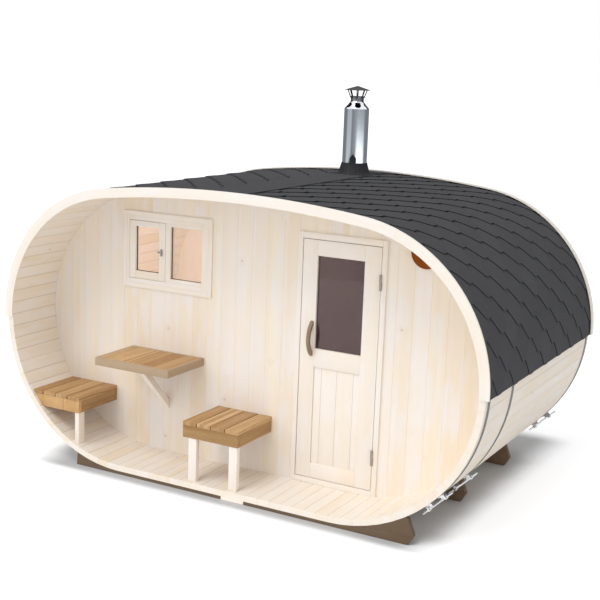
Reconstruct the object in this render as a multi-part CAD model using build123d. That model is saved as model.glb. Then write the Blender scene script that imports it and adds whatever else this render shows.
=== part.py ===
from build123d import *
from math import atan2, cos, degrees, radians, sin, sqrt
import os

# Oval barrel sauna on three saddle feet, in millimetres.
# X runs across the barrel, Y along it from the porch to the back, Z up from the ground.
# The origin is on the ground, under the middle of the barrel.

# Section of the barrel, measured on the inner face of the staves
flat_half = 886.0
lower_radius = 1018.0
shoulder_radius = 982.0
crown_radius = 8180.0
stave_thickness = 45.0
barrel_length = 2310.0
under_barrel = 25.0
seat_gap = 0.3

# End walls
porch_depth = 495.0
wall_thickness = 45.0
rear_overhang = 35.0

# Roof cover and the two arch trims
cover_gap = 2.3
cover_thickness = 22.7
cover_below_axis = 23.0
trim_thickness = 12.0
rear_trim_proud = 8.0
rear_lip_depth = 45.0

# Steel bands and their tension bolts
band_width = 40.0
band_thickness = 1.7
band_clear_of_saddle = 5.0
bolt_radius = 6.0
bolt_end_angles = (-54.0, -37.0)
bolt_standoff = 30.0
bolt_overhang = 45.0
lug_thickness = 10.0
lug_rim = 10.0

# Saddle feet
saddle_thickness = 40.0
saddle_pitch = 945.0
saddle_half_length = 1305.0
saddle_shift = 122.0
saddle_split = 188.0
saddle_horn_reach = 47.0
saddle_horn_level = 69.0
saddle_tip_level = 185.0
saddle_tip_back = 5.0
saddle_end_slope = 17.0
saddle_corner_radius = 12.0

# Doorway and its frame
door_frame_left = 321.0
door_frame_width = 694.0
door_frame_top = 1913.0
sill_height = 43.0
jamb_width = 38.0
head_height = 45.0
frame_proud = 15.0
stop_width = 14.0
stop_depth = 10.0

# Door leaf
leaf_gap = 5.0
leaf_thickness = 40.0
leaf_set_back = 3.0
lock_stile = 116.0
hinge_stile = 126.0
top_rail = 111.0
bottom_rail = 109.0
door_glass_height = 670.0
lock_rail = 135.0
door_glass_thickness = 8.0
panel_thickness = 18.0
rebate_depth = 8.0
pane_gap = 0.5

# Door furniture
handle_length = 260.0
handle_reach = 62.0
handle_width = 26.0
handle_foot = 34.0
handle_grip = 22.0
handle_level = 1153.0
handle_from_glass = 25.0
hinge_height = 110.0
lower_hinge_level = 361.0
upper_hinge_level = 1620.0
hinge_plate_width = 10.0
hinge_plate_thickness = 2.5
knuckle_radius = 7.5
pin_radius = 3.5
pin_gap = 0.3
knuckle_gap = 1.0

# Window
window_left = -1221.0
window_width = 815.0
window_bottom = 1329.0
window_height = 592.0
casing_width = 36.0
casing_proud = 12.0
sash_left_of_casing = 62.0
sash_bottom_margin = 74.0
sash_width = 332.0
sash_height = 446.0
sash_gap = 3.0
sash_thickness = 38.0
sash_set_back = 2.0
sash_stop_width = 10.0
sash_stile = 57.0
sash_top_rail = 44.0
mullion_width = 46.0
fixed_light_width = 281.0
fixed_light_height = 398.0
fixed_light_bottom = 101.0
pane_thickness = 5.0
pane_depth = 30.0
latch_level = 222.0
latch_length = 54.0
latch_section = 11.0
latch_standoff = 16.0
latch_arm = 34.0

# Table on the porch wall
table_left = -1122.0
table_width = 660.0
table_depth = 473.0
table_top_level = 863.0
table_board = 28.0
table_apron = 32.0
table_apron_thickness = 28.0
brace_width = 45.0
brace_foot_level = 413.0
brace_foot_height = 68.0
brace_reach = 410.0

# Slatted seats on the porch wall
seat_width = 467.0
seat_depth = 470.0
seat_top_level = 514.0
seat_apron = 91.0
seat_board = 28.0
slat_thickness = 28.0
slat_gap = 9.0
slat_count = 4
right_seat_left = -323.0
left_seat_from_side = 160.0
leg_wide = 68.0
leg_narrow = 38.0
leg_set_back = 5.0
right_leg_inset = 7.0
left_leg_inset = 48.0

# Round vent cover
vent_angle = 64.2
vent_clear_of_staves = 12.0
vent_radius = 110.0
vent_thickness = 18.0
vent_edge = 4.0

# Chimney
chimney_from_rear = 343.0
pipe_radius = 101.0
pipe_top_level = 2721.0
pipe_below_ceiling = 60.0
pipe_hole_gap = 2.0
cowl_sheet = 3.0
cone_height = 57.0
neck_radius = 53.0
neck_height = 44.0
liner_gap = 1.0
liner_sheet = 3.0
vent_hole_radius = 25.0
vent_hole_count = 6
vent_hole_angle = -58.0
strut_count = 8
strut_radius = 2.5
strut_reach = 80.0
cap_radius = 104.0
cap_rim_level = 2872.0
cap_height = 32.0
flashing_plate = 150.0
flashing_foot_radius = 130.0
flashing_height = 88.0
flashing_sheet = 3.0
flashing_tab_width = 54.0
flashing_tab_height = 76.0
flashing_tab_shoulder = 42.0
flashing_tab_angle = -72.0

# Levels and lines that follow from the sizes above
floor_level = under_barrel + stave_thickness
axis_level = floor_level + lower_radius
half_width = flat_half + lower_radius
shoulder_x = half_width - shoulder_radius
crown_drop = sqrt((crown_radius - shoulder_radius) ** 2 - shoulder_x ** 2)
crown_level = axis_level - crown_drop
shoulder_angle = degrees(atan2(crown_drop, shoulder_x))
ceiling_level = crown_level + crown_radius
rim_front = -barrel_length / 2
rim_rear = barrel_length / 2
wall_front = rim_front + porch_depth
wall_back = wall_front + wall_thickness
rear_wall_back = rim_rear - rear_overhang
chimney_y = rim_rear - chimney_from_rear
cover_inner = stave_thickness + cover_gap
cover_outer = cover_inner + cover_thickness
cover_edge_level = axis_level - cover_below_axis


# Shapes drawn in the X-Z plane and set along Y

def extruded(face, y_front, depth):
    """A face drawn in X and Z, carried back along Y from y_front."""
    return Pos(0, y_front + depth, 0) * Rot(90, 0, 0) * extrude(face, depth)


def oval(offset):
    """The barrel's oval, offset outwards from the inner face of the staves."""
    lower = lower_radius + offset
    shoulder = shoulder_radius + offset
    crown_sweep = 180 - 2 * shoulder_angle
    edges = [
        Line((-flat_half, floor_level - offset), (flat_half, floor_level - offset)),
        CenterArc((flat_half, axis_level), lower, -90, 90),
        CenterArc((shoulder_x, axis_level), shoulder, 0, shoulder_angle),
        CenterArc((0, crown_level), crown_radius + offset, shoulder_angle, crown_sweep),
        CenterArc((-shoulder_x, axis_level), shoulder, 180 - shoulder_angle, shoulder_angle),
        CenterArc((-flat_half, axis_level), lower, 180, 90),
    ]
    return make_face(edges)


def ring_sector(centre, inner, outer, start, sweep):
    """Part of a ring about a centre in X and Z."""
    def at(radius, angle):
        return (centre[0] + radius * cos(radians(angle)), centre[1] + radius * sin(radians(angle)))
    end = start + sweep
    edges = [
        CenterArc(centre, inner, start, sweep),
        Line(at(inner, end), at(outer, end)),
        CenterArc(centre, outer, start, sweep),
        Line(at(outer, start), at(inner, start)),
    ]
    return make_face(edges)


def panel(left, right, bottom, top):
    """A rectangle in X and Z between two uprights and two levels."""
    middle = Pos((left + right) / 2, (bottom + top) / 2)
    return middle * Rectangle(right - left, top - bottom)


def block(left, right, front, back, bottom, top):
    """A box between three pairs of planes."""
    middle = Pos((left + right) / 2, (front + back) / 2, (bottom + top) / 2)
    return middle * Box(right - left, back - front, top - bottom)


def oval_strip(inner, outer):
    """The whole strip between two offsets of the oval."""
    return oval(outer) - oval(inner)


def arch(inner, outer):
    """The strip between two offsets of the oval, above the roof cover's lower edges."""
    reach = half_width + outer + stave_thickness
    above = panel(-reach, reach, cover_edge_level, ceiling_level + reach)
    return oval_strip(inner, outer) & above


# Barrel of staves: a flat floor, two lower quarters, two shoulders and a low crown

def barrel_staves():
    """The stave shell, split where its arcs meet."""
    def staves(face):
        return extruded(face, rim_front, barrel_length)
    lower_outer = lower_radius + stave_thickness
    shoulder_outer = shoulder_radius + stave_thickness
    right = (shoulder_x, axis_level)
    left = (-shoulder_x, axis_level)
    crown_sweep = 180 - 2 * shoulder_angle
    crown = ring_sector((0, crown_level), crown_radius, crown_radius + stave_thickness,
                        shoulder_angle, crown_sweep)
    pipe_hole = Pos(0, chimney_y, ceiling_level) * Cylinder(pipe_radius + pipe_hole_gap, ceiling_level)
    return {
        "floor_staves": staves(panel(-flat_half, flat_half, under_barrel, floor_level)),
        "lower_right_staves": staves(
            ring_sector((flat_half, axis_level), lower_radius, lower_outer, -90, 90)),
        "lower_left_staves": staves(
            ring_sector((-flat_half, axis_level), lower_radius, lower_outer, 180, 90)),
        "upper_right_staves": staves(
            ring_sector(right, shoulder_radius, shoulder_outer, 0, shoulder_angle)),
        "upper_left_staves": staves(
            ring_sector(left, shoulder_radius, shoulder_outer, 180 - shoulder_angle, shoulder_angle)),
        "roof_staves": staves(crown) - pipe_hole,
    }


# End walls, split beside, over and under the window and beside and over the door

window_right = window_left + window_width
window_top = window_bottom + window_height
window_hole = (window_left + casing_width, window_right - casing_width,
               window_bottom + casing_width, window_top - casing_width)
door_frame_right = door_frame_left + door_frame_width


def end_walls():
    """The front wall in its pieces, and the rear wall."""
    inside = oval(-seat_gap)
    far = half_width + stave_thickness
    top = ceiling_level + stave_thickness
    hole_left, hole_right, hole_bottom, hole_top = window_hole

    def wall(left, right, bottom, above):
        face = inside & panel(left, right, bottom, above)
        return extruded(face, wall_front, wall_thickness)

    return {
        "front_wall_left": wall(-far, hole_left, 0, top),
        "front_wall_under_window": wall(hole_left, hole_right, 0, hole_bottom),
        "front_wall_over_window": wall(hole_left, hole_right, hole_top, top),
        "front_wall_middle": wall(hole_right, door_frame_left, 0, top),
        "front_wall_over_door": wall(door_frame_left, door_frame_right, door_frame_top, top),
        "front_wall_right": wall(door_frame_right, far, 0, top),
        "rear_wall": extruded(inside, rear_wall_back - wall_thickness, wall_thickness),
    }


# Roof cover, its two arch trims and the steel bands

def roof_cover():
    """Shingle cover in three strips along the barrel, and a trim on each end."""
    cover = extruded(arch(cover_inner, cover_outer), rim_front, barrel_length)
    far = half_width + cover_outer + stave_thickness
    high = ceiling_level + far
    pipe_hole = Pos(0, chimney_y, ceiling_level) * Cylinder(pipe_radius + pipe_hole_gap, ceiling_level)
    ridge = cover & block(-shoulder_x, shoulder_x, rim_front, rim_rear, axis_level, high)
    front_trim = extruded(arch(0, cover_outer), rim_front - trim_thickness, trim_thickness)
    rear_outer = cover_outer + rear_trim_proud
    rear_trim = extruded(arch(0, rear_outer), rim_rear, trim_thickness)
    lip = extruded(arch(cover_outer + seat_gap, rear_outer), rim_rear - rear_lip_depth, rear_lip_depth)
    return {
        "shingles_left": cover & block(-far, -shoulder_x, rim_front, rim_rear, 0, high),
        "shingles_ridge": ridge - pipe_hole,
        "shingles_right": cover & block(shoulder_x, far, rim_front, rim_rear, 0, high),
        "front_arch_trim": front_trim,
        "rear_arch_trim": rear_trim + lip,
    }


def tension_bolt(y_middle):
    """Two lugs on the band's lower right curve and the bolt between them, in X and Z."""
    surface = lower_radius + stave_thickness + seat_gap
    bolt_circle = surface + band_thickness + bolt_standoff

    def at(radius, angle):
        return Vector(flat_half + radius * cos(radians(angle)), y_middle,
                      axis_level + radius * sin(radians(angle)))

    first, last = (at(bolt_circle, angle) for angle in bolt_end_angles)
    along = (last - first).normalized()
    start = first - along * bolt_overhang
    bolt = Plane(origin=start, z_dir=along) * Cylinder(
        bolt_radius, (last - first).length + 2 * bolt_overhang,
        align=(Align.CENTER, Align.CENTER, Align.MIN))
    pieces = bolt
    lug_height = bolt_standoff + band_thickness / 2 + lug_rim
    for angle in bolt_end_angles:
        foot = at(surface + band_thickness / 2, angle)
        outwards = (at(bolt_circle, angle) - foot).normalized()
        pieces += Plane(origin=foot, x_dir=(0, 1, 0), z_dir=outwards) * Box(
            band_width, lug_thickness, lug_height, align=(Align.CENTER, Align.CENTER, Align.MIN))
    return pieces


def steel_bands():
    """Three bands round the staves: at the porch edge and over each end wall."""
    strip = oval_strip(stave_thickness + seat_gap, stave_thickness + seat_gap + band_thickness)
    first = rim_front + saddle_thickness + band_clear_of_saddle + band_width / 2
    middles = {
        "front_band": first,
        "middle_band": wall_front + wall_thickness / 2,
        "rear_band": rear_wall_back - wall_thickness / 2,
    }
    return {
        name: extruded(strip, middle - band_width / 2, band_width) + tension_bolt(middle)
        for name, middle in middles.items()
    }


# Saddle feet: two halves each, scribed to the barrel, with a pale block between them

def saddle_fronts():
    """Front faces of the three saddles along Y."""
    return [rim_front + step * saddle_pitch for step in range(3)]


def saddles():
    """Three saddles and the blocks in their middle gaps."""
    around = oval(stave_thickness + seat_gap)
    split_left = saddle_shift - saddle_split / 2
    split_right = saddle_shift + saddle_split / 2
    left_end = split_left - saddle_half_length
    tip = split_right + saddle_half_length
    left_half = make_face(Polyline(
        (split_left, 0), (split_left, saddle_tip_level), (left_end + saddle_end_slope, saddle_tip_level),
        (left_end, 0), close=True))
    foot = tip - saddle_horn_reach + saddle_tip_back
    right_half = make_face(Polyline(
        (split_right, 0), (split_right, saddle_tip_level), (tip - saddle_horn_reach, saddle_tip_level),
        (tip, saddle_horn_level), (foot, 0), close=True))
    right_half = fillet(right_half.vertices().group_by(Axis.X)[-1], saddle_corner_radius)
    halves = (left_half - around) + (right_half - around)
    filler = panel(split_left, split_right, 0, under_barrel - seat_gap)
    names = ["front_cradle", "middle_cradle", "rear_cradle"]
    pieces = {
        name: extruded(halves, front, saddle_thickness)
        for name, front in zip(names, saddle_fronts())
    }
    pieces["cradle_blocks"] = Compound(children=[
        extruded(filler, front, saddle_thickness) for front in saddle_fronts()])
    return pieces


# Door frame in the wall, with stops behind the leaf

frame_front = wall_front - frame_proud
opening_left = door_frame_left + jamb_width
opening_right = door_frame_right - jamb_width
opening_bottom = floor_level + sill_height
opening_top = door_frame_top - head_height


def door_frame():
    """Jambs, head and sill in one ring, the sill scribed to the floor."""
    outline = panel(door_frame_left, door_frame_right, 0, door_frame_top) & oval(-seat_gap)
    opening = panel(opening_left, opening_right, opening_bottom, opening_top)
    inner = panel(opening_left + stop_width, opening_right - stop_width,
                  opening_bottom + stop_width, opening_top - stop_width)
    ring = extruded(outline - opening, frame_front, wall_back - frame_front)
    stops = extruded(opening - inner, wall_back - stop_depth, stop_depth)
    return {"door_frame": ring + stops}


# Door leaf: stiles and rails round a glass light and a boarded panel

leaf_left = opening_left + leaf_gap
leaf_right = opening_right - leaf_gap
leaf_bottom = opening_bottom + leaf_gap
leaf_top = opening_top - leaf_gap
leaf_front = frame_front + leaf_set_back
leaf_back = leaf_front + leaf_thickness
light_left = leaf_left + lock_stile
light_right = leaf_right - hinge_stile
light_top = leaf_top - top_rail
light_bottom = light_top - door_glass_height
panel_top = light_bottom - lock_rail
panel_bottom = leaf_bottom + bottom_rail


def rebated_sheet(left, right, bottom, top, y_middle, thickness, lap):
    """A sheet that laps into the grooves round an opening."""
    face = panel(left - lap, right + lap, bottom - lap, top + lap)
    return extruded(face, y_middle - thickness / 2, thickness)


def door_leaf():
    """The leaf with its grooves, the glass and the panel that sit in them."""
    middle = (leaf_front + leaf_back) / 2
    face = panel(leaf_left, leaf_right, leaf_bottom, leaf_top)
    face -= panel(light_left, light_right, light_bottom, light_top)
    face -= panel(light_left, light_right, panel_bottom, panel_top)
    leaf = extruded(face, leaf_front, leaf_thickness)
    lap = rebate_depth - pane_gap
    leaf -= rebated_sheet(light_left, light_right, light_bottom, light_top, middle,
                          door_glass_thickness + 2 * pane_gap, rebate_depth)
    leaf -= rebated_sheet(light_left, light_right, panel_bottom, panel_top, middle,
                          panel_thickness + 2 * pane_gap, rebate_depth)
    return {
        "door_frame_leaf": leaf,
        "door_glass": rebated_sheet(light_left, light_right, light_bottom, light_top, middle,
                                    door_glass_thickness, lap),
        "door_panel": rebated_sheet(light_left, light_right, panel_bottom, panel_top, middle,
                                    panel_thickness, lap),
    }


def bow_handle():
    """A bowed wooden bar, drawn in reach and height and as wide as a grip."""
    middle = handle_length / 2
    inner_reach = handle_reach - handle_grip
    outline = make_face([
        ThreePointArc((0, 0), (handle_reach, middle), (0, handle_length)),
        Line((0, handle_length), (0, handle_length - handle_foot)),
        ThreePointArc((0, handle_length - handle_foot), (inner_reach, middle), (0, handle_foot)),
        Line((0, handle_foot), (0, 0)),
    ])
    bar = extrude(outline, handle_width / 2, both=True)
    upright = Rot(90, 0, 0) * bar
    return Pos(0, 0, handle_level - middle) * Rot(0, 0, -90) * upright


def door_handles():
    """The same bow on both faces of the lock stile."""
    x = light_left - handle_from_glass
    outside = Pos(x, leaf_front, 0) * bow_handle()
    inside = Pos(x, leaf_back, 0) * Rot(0, 0, 180) * bow_handle()
    return {"door_handles": Compound(children=[outside, inside])}


pin_x = (leaf_right + opening_right) / 2
pin_y = frame_front - knuckle_radius - pin_gap


def upright_cylinder(radius, bottom, top):
    """A cylinder on the hinge line between two levels."""
    return Pos(pin_x, pin_y, (bottom + top) / 2) * Cylinder(radius, top - bottom)


def hinges():
    """Lift-off hinges: a knuckle and pin on the jamb, a bored knuckle on the leaf."""
    frame_halves = []
    leaf_halves = []
    for level in (lower_hinge_level, upper_hinge_level):
        bottom = level - hinge_height / 2
        top = level + hinge_height / 2
        frame_plate = block(pin_x, pin_x + hinge_plate_width, frame_front - hinge_plate_thickness,
                            frame_front, bottom, level - knuckle_gap / 2)
        frame_web = block(pin_x, pin_x + knuckle_radius, pin_y, frame_front, bottom,
                          level - knuckle_gap / 2)
        pin = upright_cylinder(pin_radius, bottom, top - knuckle_gap)
        frame_halves.append(frame_plate + frame_web + pin
                            + upright_cylinder(knuckle_radius, bottom, level - knuckle_gap / 2))
        leaf_plate = block(pin_x - hinge_plate_width, pin_x, leaf_front - hinge_plate_thickness,
                           leaf_front, level + knuckle_gap / 2, top)
        leaf_plate -= block(leaf_right, pin_x, leaf_front - hinge_plate_thickness, leaf_front,
                            level, top)
        leaf_web = block(leaf_right - knuckle_radius, pin_x, pin_y, leaf_front - hinge_plate_thickness,
                         level + knuckle_gap / 2, top)
        knuckle = upright_cylinder(knuckle_radius, level + knuckle_gap / 2, top)
        bore = upright_cylinder(pin_radius + pin_gap, level, top - knuckle_gap / 2)
        leaf_halves.append(leaf_plate + leaf_web + knuckle - bore)
    return {
        "hinge_frame_halves": Compound(children=frame_halves),
        "door_hinges": Compound(children=leaf_halves),
    }


# Window: a frame with casing and mullion, an opening sash on the left, a fixed light on the right

window_front = wall_front - casing_proud
sash_left = window_left + sash_left_of_casing
sash_right = sash_left + sash_width
sash_bottom = window_bottom + sash_bottom_margin
sash_top = sash_bottom + sash_height
fixed_left = sash_right + sash_gap + mullion_width
fixed_right = fixed_left + fixed_light_width
fixed_bottom = window_bottom + fixed_light_bottom
fixed_top = fixed_bottom + fixed_light_height
sash_light = (sash_left + sash_stile, sash_right - sash_stile,
              sash_bottom + sash_stile, sash_top - sash_top_rail)


def window():
    """The frame with its casing, the sash, both panes and the latch."""
    hole_left, hole_right, hole_bottom, hole_top = window_hole
    sash_hole = panel(sash_left - sash_gap, sash_right + sash_gap,
                      sash_bottom - sash_gap, sash_top + sash_gap)
    fixed_hole = panel(fixed_left, fixed_right, fixed_bottom, fixed_top)
    casing = panel(window_left, window_right, window_bottom, window_top) - sash_hole - fixed_hole
    core = panel(hole_left, hole_right, hole_bottom, hole_top) - sash_hole - fixed_hole
    frame = extruded(casing, window_front, casing_proud) + extruded(core, wall_front, wall_thickness)
    pane_middle = window_front + pane_depth + pane_thickness / 2
    groove = pane_thickness + 2 * pane_gap
    lap = rebate_depth - pane_gap
    frame -= rebated_sheet(fixed_left, fixed_right, fixed_bottom, fixed_top, pane_middle, groove,
                           rebate_depth)
    sash_front = window_front + sash_set_back
    sash_back = sash_front + sash_thickness
    inner = panel(sash_left + sash_stop_width, sash_right - sash_stop_width,
                  sash_bottom + sash_stop_width, sash_top - sash_stop_width)
    frame += extruded(sash_hole - inner, sash_back + seat_gap, wall_back - sash_back - seat_gap)
    sash = extruded(panel(sash_left, sash_right, sash_bottom, sash_top) - panel(*sash_light),
                    sash_front, sash_thickness)
    sash -= rebated_sheet(*sash_light, pane_middle, groove, rebate_depth)
    panes = [
        rebated_sheet(*sash_light, pane_middle, pane_thickness, lap),
        rebated_sheet(fixed_left, fixed_right, fixed_bottom, fixed_top, pane_middle, pane_thickness, lap),
    ]
    latch_x = sash_right - sash_stile / 2
    latch_middle = sash_bottom + latch_level
    grip_front = sash_front - latch_standoff
    grip = block(latch_x - latch_section / 2, latch_x + latch_section / 2,
                 grip_front, grip_front + latch_section,
                 latch_middle - latch_length / 2, latch_middle + latch_length / 2)
    arm = block(latch_x - latch_arm, latch_x, grip_front, sash_front,
                latch_middle - latch_section / 2, latch_middle + latch_section / 2)
    return {
        "window_frame": frame,
        "window_sash": sash,
        "window_glass": Compound(children=panes),
        "window_latch": grip + arm,
    }


# Porch furniture: a table on a brace, and two slatted seats fixed to the wall

def table():
    """A boarded top on an apron, and the brace that carries it from the wall."""
    right = table_left + table_width
    front = wall_front - table_depth
    under_boards = table_top_level - table_board
    underside = under_boards - table_apron
    top = block(table_left, right, front, wall_front, underside, table_top_level)
    top -= block(table_left + table_apron_thickness, right - table_apron_thickness,
                 front + table_apron_thickness, wall_front - table_apron_thickness,
                 underside, under_boards)
    middle = (table_left + right) / 2
    side = make_face(Polyline(
        (wall_front, brace_foot_level), (wall_front, brace_foot_level + brace_foot_height),
        (wall_front - brace_reach + brace_foot_height, under_boards),
        (wall_front - brace_reach, under_boards), close=True))
    brace = Pos(middle, 0, 0) * Rot(0, 0, 90) * Rot(90, 0, 0) * extrude(side, brace_width / 2, both=True)
    return {"table_top": top, "table_brace": brace}


left_seat_left = left_seat_from_side - half_width
seat_front = wall_front - seat_depth
slat_bottom = seat_top_level - slat_thickness
seat_underside = slat_bottom - seat_apron


def seat_slats(left):
    """The slats of one seat, along Y, with a gap between each two."""
    slat_width = (seat_width - (slat_count - 1) * slat_gap) / slat_count
    starts = [left + number * (slat_width + slat_gap) for number in range(slat_count)]
    return [
        block(start, start + slat_width, seat_front, wall_front, slat_bottom, seat_top_level)
        for start in starts
    ]


def seat_aprons(left, sides):
    """The boards under one seat's slats: front and back across, and side boards between them."""
    right = left + seat_width
    front_back = seat_front + seat_board
    back_front = wall_front - seat_board
    spans = [(left, right, seat_front, front_back), (left, right, back_front, wall_front)]
    for side in sides:
        spans.append((side, side + seat_board, front_back + seat_gap, back_front - seat_gap))
    return [block(*span, seat_underside, slat_bottom) for span in spans]


def seats():
    """Both seats and their legs; the left seat has no left board and bears on the barrel."""
    inside = extruded(oval(-seat_gap), rim_front, barrel_length)
    leg_front = seat_front + leg_set_back
    right_seat_right = right_seat_left + seat_width
    left_seat_right = left_seat_left + seat_width
    spans = [
        (right_seat_left + left_leg_inset, leg_wide, leg_narrow),
        (right_seat_right - right_leg_inset - leg_wide, leg_wide, leg_narrow),
        (left_seat_right - leg_set_back - leg_narrow, leg_narrow, leg_wide),
    ]
    legs = [
        block(x, x + wide, leg_front, leg_front + deep, under_barrel, seat_underside)
        for x, wide, deep in spans
    ]
    left_sides = [left_seat_right - seat_board]
    right_sides = [right_seat_left, right_seat_right - seat_board]
    boards = {
        "seat_slats": seat_slats(right_seat_left) + seat_slats(left_seat_left),
        "seat_aprons": seat_aprons(right_seat_left, right_sides)
        + seat_aprons(left_seat_left, left_sides),
        "seat_legs": legs,
    }
    return {
        name: Compound(children=[piece & inside for piece in pieces])
        for name, pieces in boards.items()
    }


def vent_cover():
    """A round wooden cover on the wall by the shoulder, its front edge eased."""
    reach = shoulder_radius - vent_clear_of_staves - vent_radius
    middle = Pos(shoulder_x + reach * cos(radians(vent_angle)),
                 axis_level + reach * sin(radians(vent_angle)))
    disc = extruded(middle * Circle(vent_radius), wall_front - vent_thickness, vent_thickness)
    front_edge = disc.edges().group_by(Axis.Y)[0]
    return {"vent_cover": fillet(front_edge, vent_edge)}


# Chimney: an insulated pipe, a cowl on struts and a flashing on the roof

def turned(profile):
    """A closed profile of radius and level, turned about the chimney's axis."""
    face = make_face(Polyline(*profile, close=True))
    return Pos(0, chimney_y, 0) * revolve(Rot(90, 0, 0) * face, Axis.Z)


def chimney_cowl():
    """A cone with vent holes, a neck, flared struts and a low conical cap."""
    cone_top = pipe_top_level + cone_height
    neck_top = cone_top + neck_height
    shell = turned([
        (pipe_radius, pipe_top_level), (neck_radius, cone_top), (neck_radius, neck_top),
        (neck_radius - cowl_sheet, neck_top), (neck_radius - cowl_sheet, cone_top - cowl_sheet / 2),
        (pipe_radius - 2 * cowl_sheet, pipe_top_level),
    ])
    slope = degrees(atan2(cone_height, pipe_radius - neck_radius))
    hole_level = pipe_top_level + cone_height / 2
    hole_reach = (pipe_radius + neck_radius) / 2
    axis = Pos(0, chimney_y, 0)
    for number in range(vent_hole_count):
        turn = 360 / vent_hole_count * number + vent_hole_angle
        hole = axis * Rot(0, 0, turn) * Pos(hole_reach, 0, hole_level) * Rot(0, 90 - slope, 0)
        shell -= hole * Cylinder(vent_hole_radius, cone_height)
    cap = turned([
        (0, cap_rim_level + cap_height), (cap_radius, cap_rim_level),
        (cap_radius - cowl_sheet, cap_rim_level - cowl_sheet),
        (0, cap_rim_level + cap_height - 2 * cowl_sheet),
    ])
    strut_foot_level = neck_top - neck_height / 3
    strut_head_level = cap_rim_level - cowl_sheet + (cap_radius - strut_reach) * cap_height / cap_radius
    foot = Vector(neck_radius, 0, strut_foot_level)
    head = Vector(strut_reach, 0, strut_head_level)
    strut = Plane(origin=foot, z_dir=head - foot) * Cylinder(
        strut_radius, (head - foot).length, align=(Align.CENTER, Align.CENTER, Align.MIN))
    cowl = shell + cap
    for number in range(strut_count):
        cowl += axis * Rot(0, 0, 360 / strut_count * number + 180 / strut_count) * strut
    return cowl


def chimney_flashing():
    """A sheet bent to the roof, a conical collar and one pointed tab up the pipe."""
    sheet_foot = cover_outer + seat_gap
    front = chimney_y - flashing_plate
    sheet = extruded(oval_strip(sheet_foot, sheet_foot + flashing_sheet), front, 2 * flashing_plate)
    sheet &= block(-flashing_plate, flashing_plate, front, chimney_y + flashing_plate,
                   ceiling_level, ceiling_level + 2 * flashing_plate)
    foot_level = ceiling_level + sheet_foot + flashing_sheet / 2
    collar_top = ceiling_level + cover_outer + flashing_height
    inner = pipe_radius + seat_gap
    collar = turned([
        (flashing_foot_radius, foot_level), (inner + flashing_sheet, collar_top), (inner, collar_top),
        (flashing_foot_radius - flashing_sheet, foot_level),
    ])
    pipe_hole = Pos(0, chimney_y, ceiling_level) * Cylinder(inner, ceiling_level)
    half = flashing_tab_width / 2
    tab_face = make_face(Polyline(
        (-half, 0), (half, 0), (half, flashing_tab_shoulder), (0, flashing_tab_height),
        (-half, flashing_tab_shoulder), close=True))
    tab = extrude(Rot(90, 0, 0) * tab_face, 2 * pipe_radius, dir=(0, -1, 0))
    tube = turned([
        (inner, collar_top - flashing_sheet), (inner + flashing_sheet, collar_top - flashing_sheet),
        (inner + flashing_sheet, collar_top + flashing_tab_height),
        (inner, collar_top + flashing_tab_height),
    ])
    turn = Pos(0, chimney_y, collar_top - flashing_sheet) * Rot(0, 0, flashing_tab_angle + 90)
    return (sheet - pipe_hole) + collar + (tube & (turn * tab))


def chimney():
    """The pipe from just under the ceiling, lined up into the neck, its cowl and its flashing."""
    bottom = ceiling_level - pipe_below_ceiling
    liner_radius = neck_radius - cowl_sheet - liner_gap
    liner_top = pipe_top_level + cone_height + neck_height / 2
    pipe = turned([
        (liner_radius - liner_sheet, bottom), (pipe_radius, bottom), (pipe_radius, pipe_top_level),
        (liner_radius, pipe_top_level), (liner_radius, liner_top), (liner_radius - liner_sheet, liner_top),
    ])
    return {
        "chimney_pipe": pipe,
        "chimney_cowl": chimney_cowl(),
        "chimney_flashing": chimney_flashing(),
    }


def main():
    """Build every piece and write one file each."""
    os.makedirs("parts", exist_ok=True)
    groups = [
        barrel_staves(), end_walls(), roof_cover(), steel_bands(), saddles(), door_frame(), door_leaf(),
        door_handles(), hinges(), window(), table(), seats(), vent_cover(), chimney(),
    ]
    for group in groups:
        for name, shape in group.items():
            export_step(shape, f"parts/{name}.step")


main()
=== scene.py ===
"""Oval barrel sauna on three saddle feet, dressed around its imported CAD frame.

Every object is in metres in the frame of the CAD: X across the barrel, Y along it
from the porch to the back, Z up from the ground.
"""

import logging
import math
from dataclasses import dataclass, replace
from enum import Enum
from typing import Any, Callable, ClassVar, Sequence

import bmesh
import bpy
from mathutils import Matrix, Vector


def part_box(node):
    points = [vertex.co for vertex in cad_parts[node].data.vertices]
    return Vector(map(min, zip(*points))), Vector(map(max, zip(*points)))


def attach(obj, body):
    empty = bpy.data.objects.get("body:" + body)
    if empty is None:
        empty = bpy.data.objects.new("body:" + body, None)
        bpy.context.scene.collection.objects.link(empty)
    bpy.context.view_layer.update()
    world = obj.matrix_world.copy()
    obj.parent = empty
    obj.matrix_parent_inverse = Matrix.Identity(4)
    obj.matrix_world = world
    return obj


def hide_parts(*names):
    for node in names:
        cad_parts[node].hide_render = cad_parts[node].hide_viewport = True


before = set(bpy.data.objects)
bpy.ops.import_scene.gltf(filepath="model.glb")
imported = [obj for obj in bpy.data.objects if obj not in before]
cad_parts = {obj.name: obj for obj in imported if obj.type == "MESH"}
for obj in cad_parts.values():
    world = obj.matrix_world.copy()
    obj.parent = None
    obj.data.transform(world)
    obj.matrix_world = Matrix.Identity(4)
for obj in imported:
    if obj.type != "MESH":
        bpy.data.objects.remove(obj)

log = logging.getLogger("sauna")
Colour = tuple[float, float, float]
Point = tuple[float, float, float]
Span = tuple[float, float]
Sides = tuple[float, float, float, float]
BARREL = "barrel"
DOOR = "door"
GOLDEN = 0.6180339887
DOUBLES = 1e-5
FLAT = 0.5
CREASE = 40.0
WHITE = (1.0, 1.0, 1.0, 1.0)


class Grain(Enum):
    """The direction that a board's grain runs in."""

    ACROSS = (1, 0, 2)
    ALONG = (0, 1, 2)
    UPRIGHT = (0, 2, 1)


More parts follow.
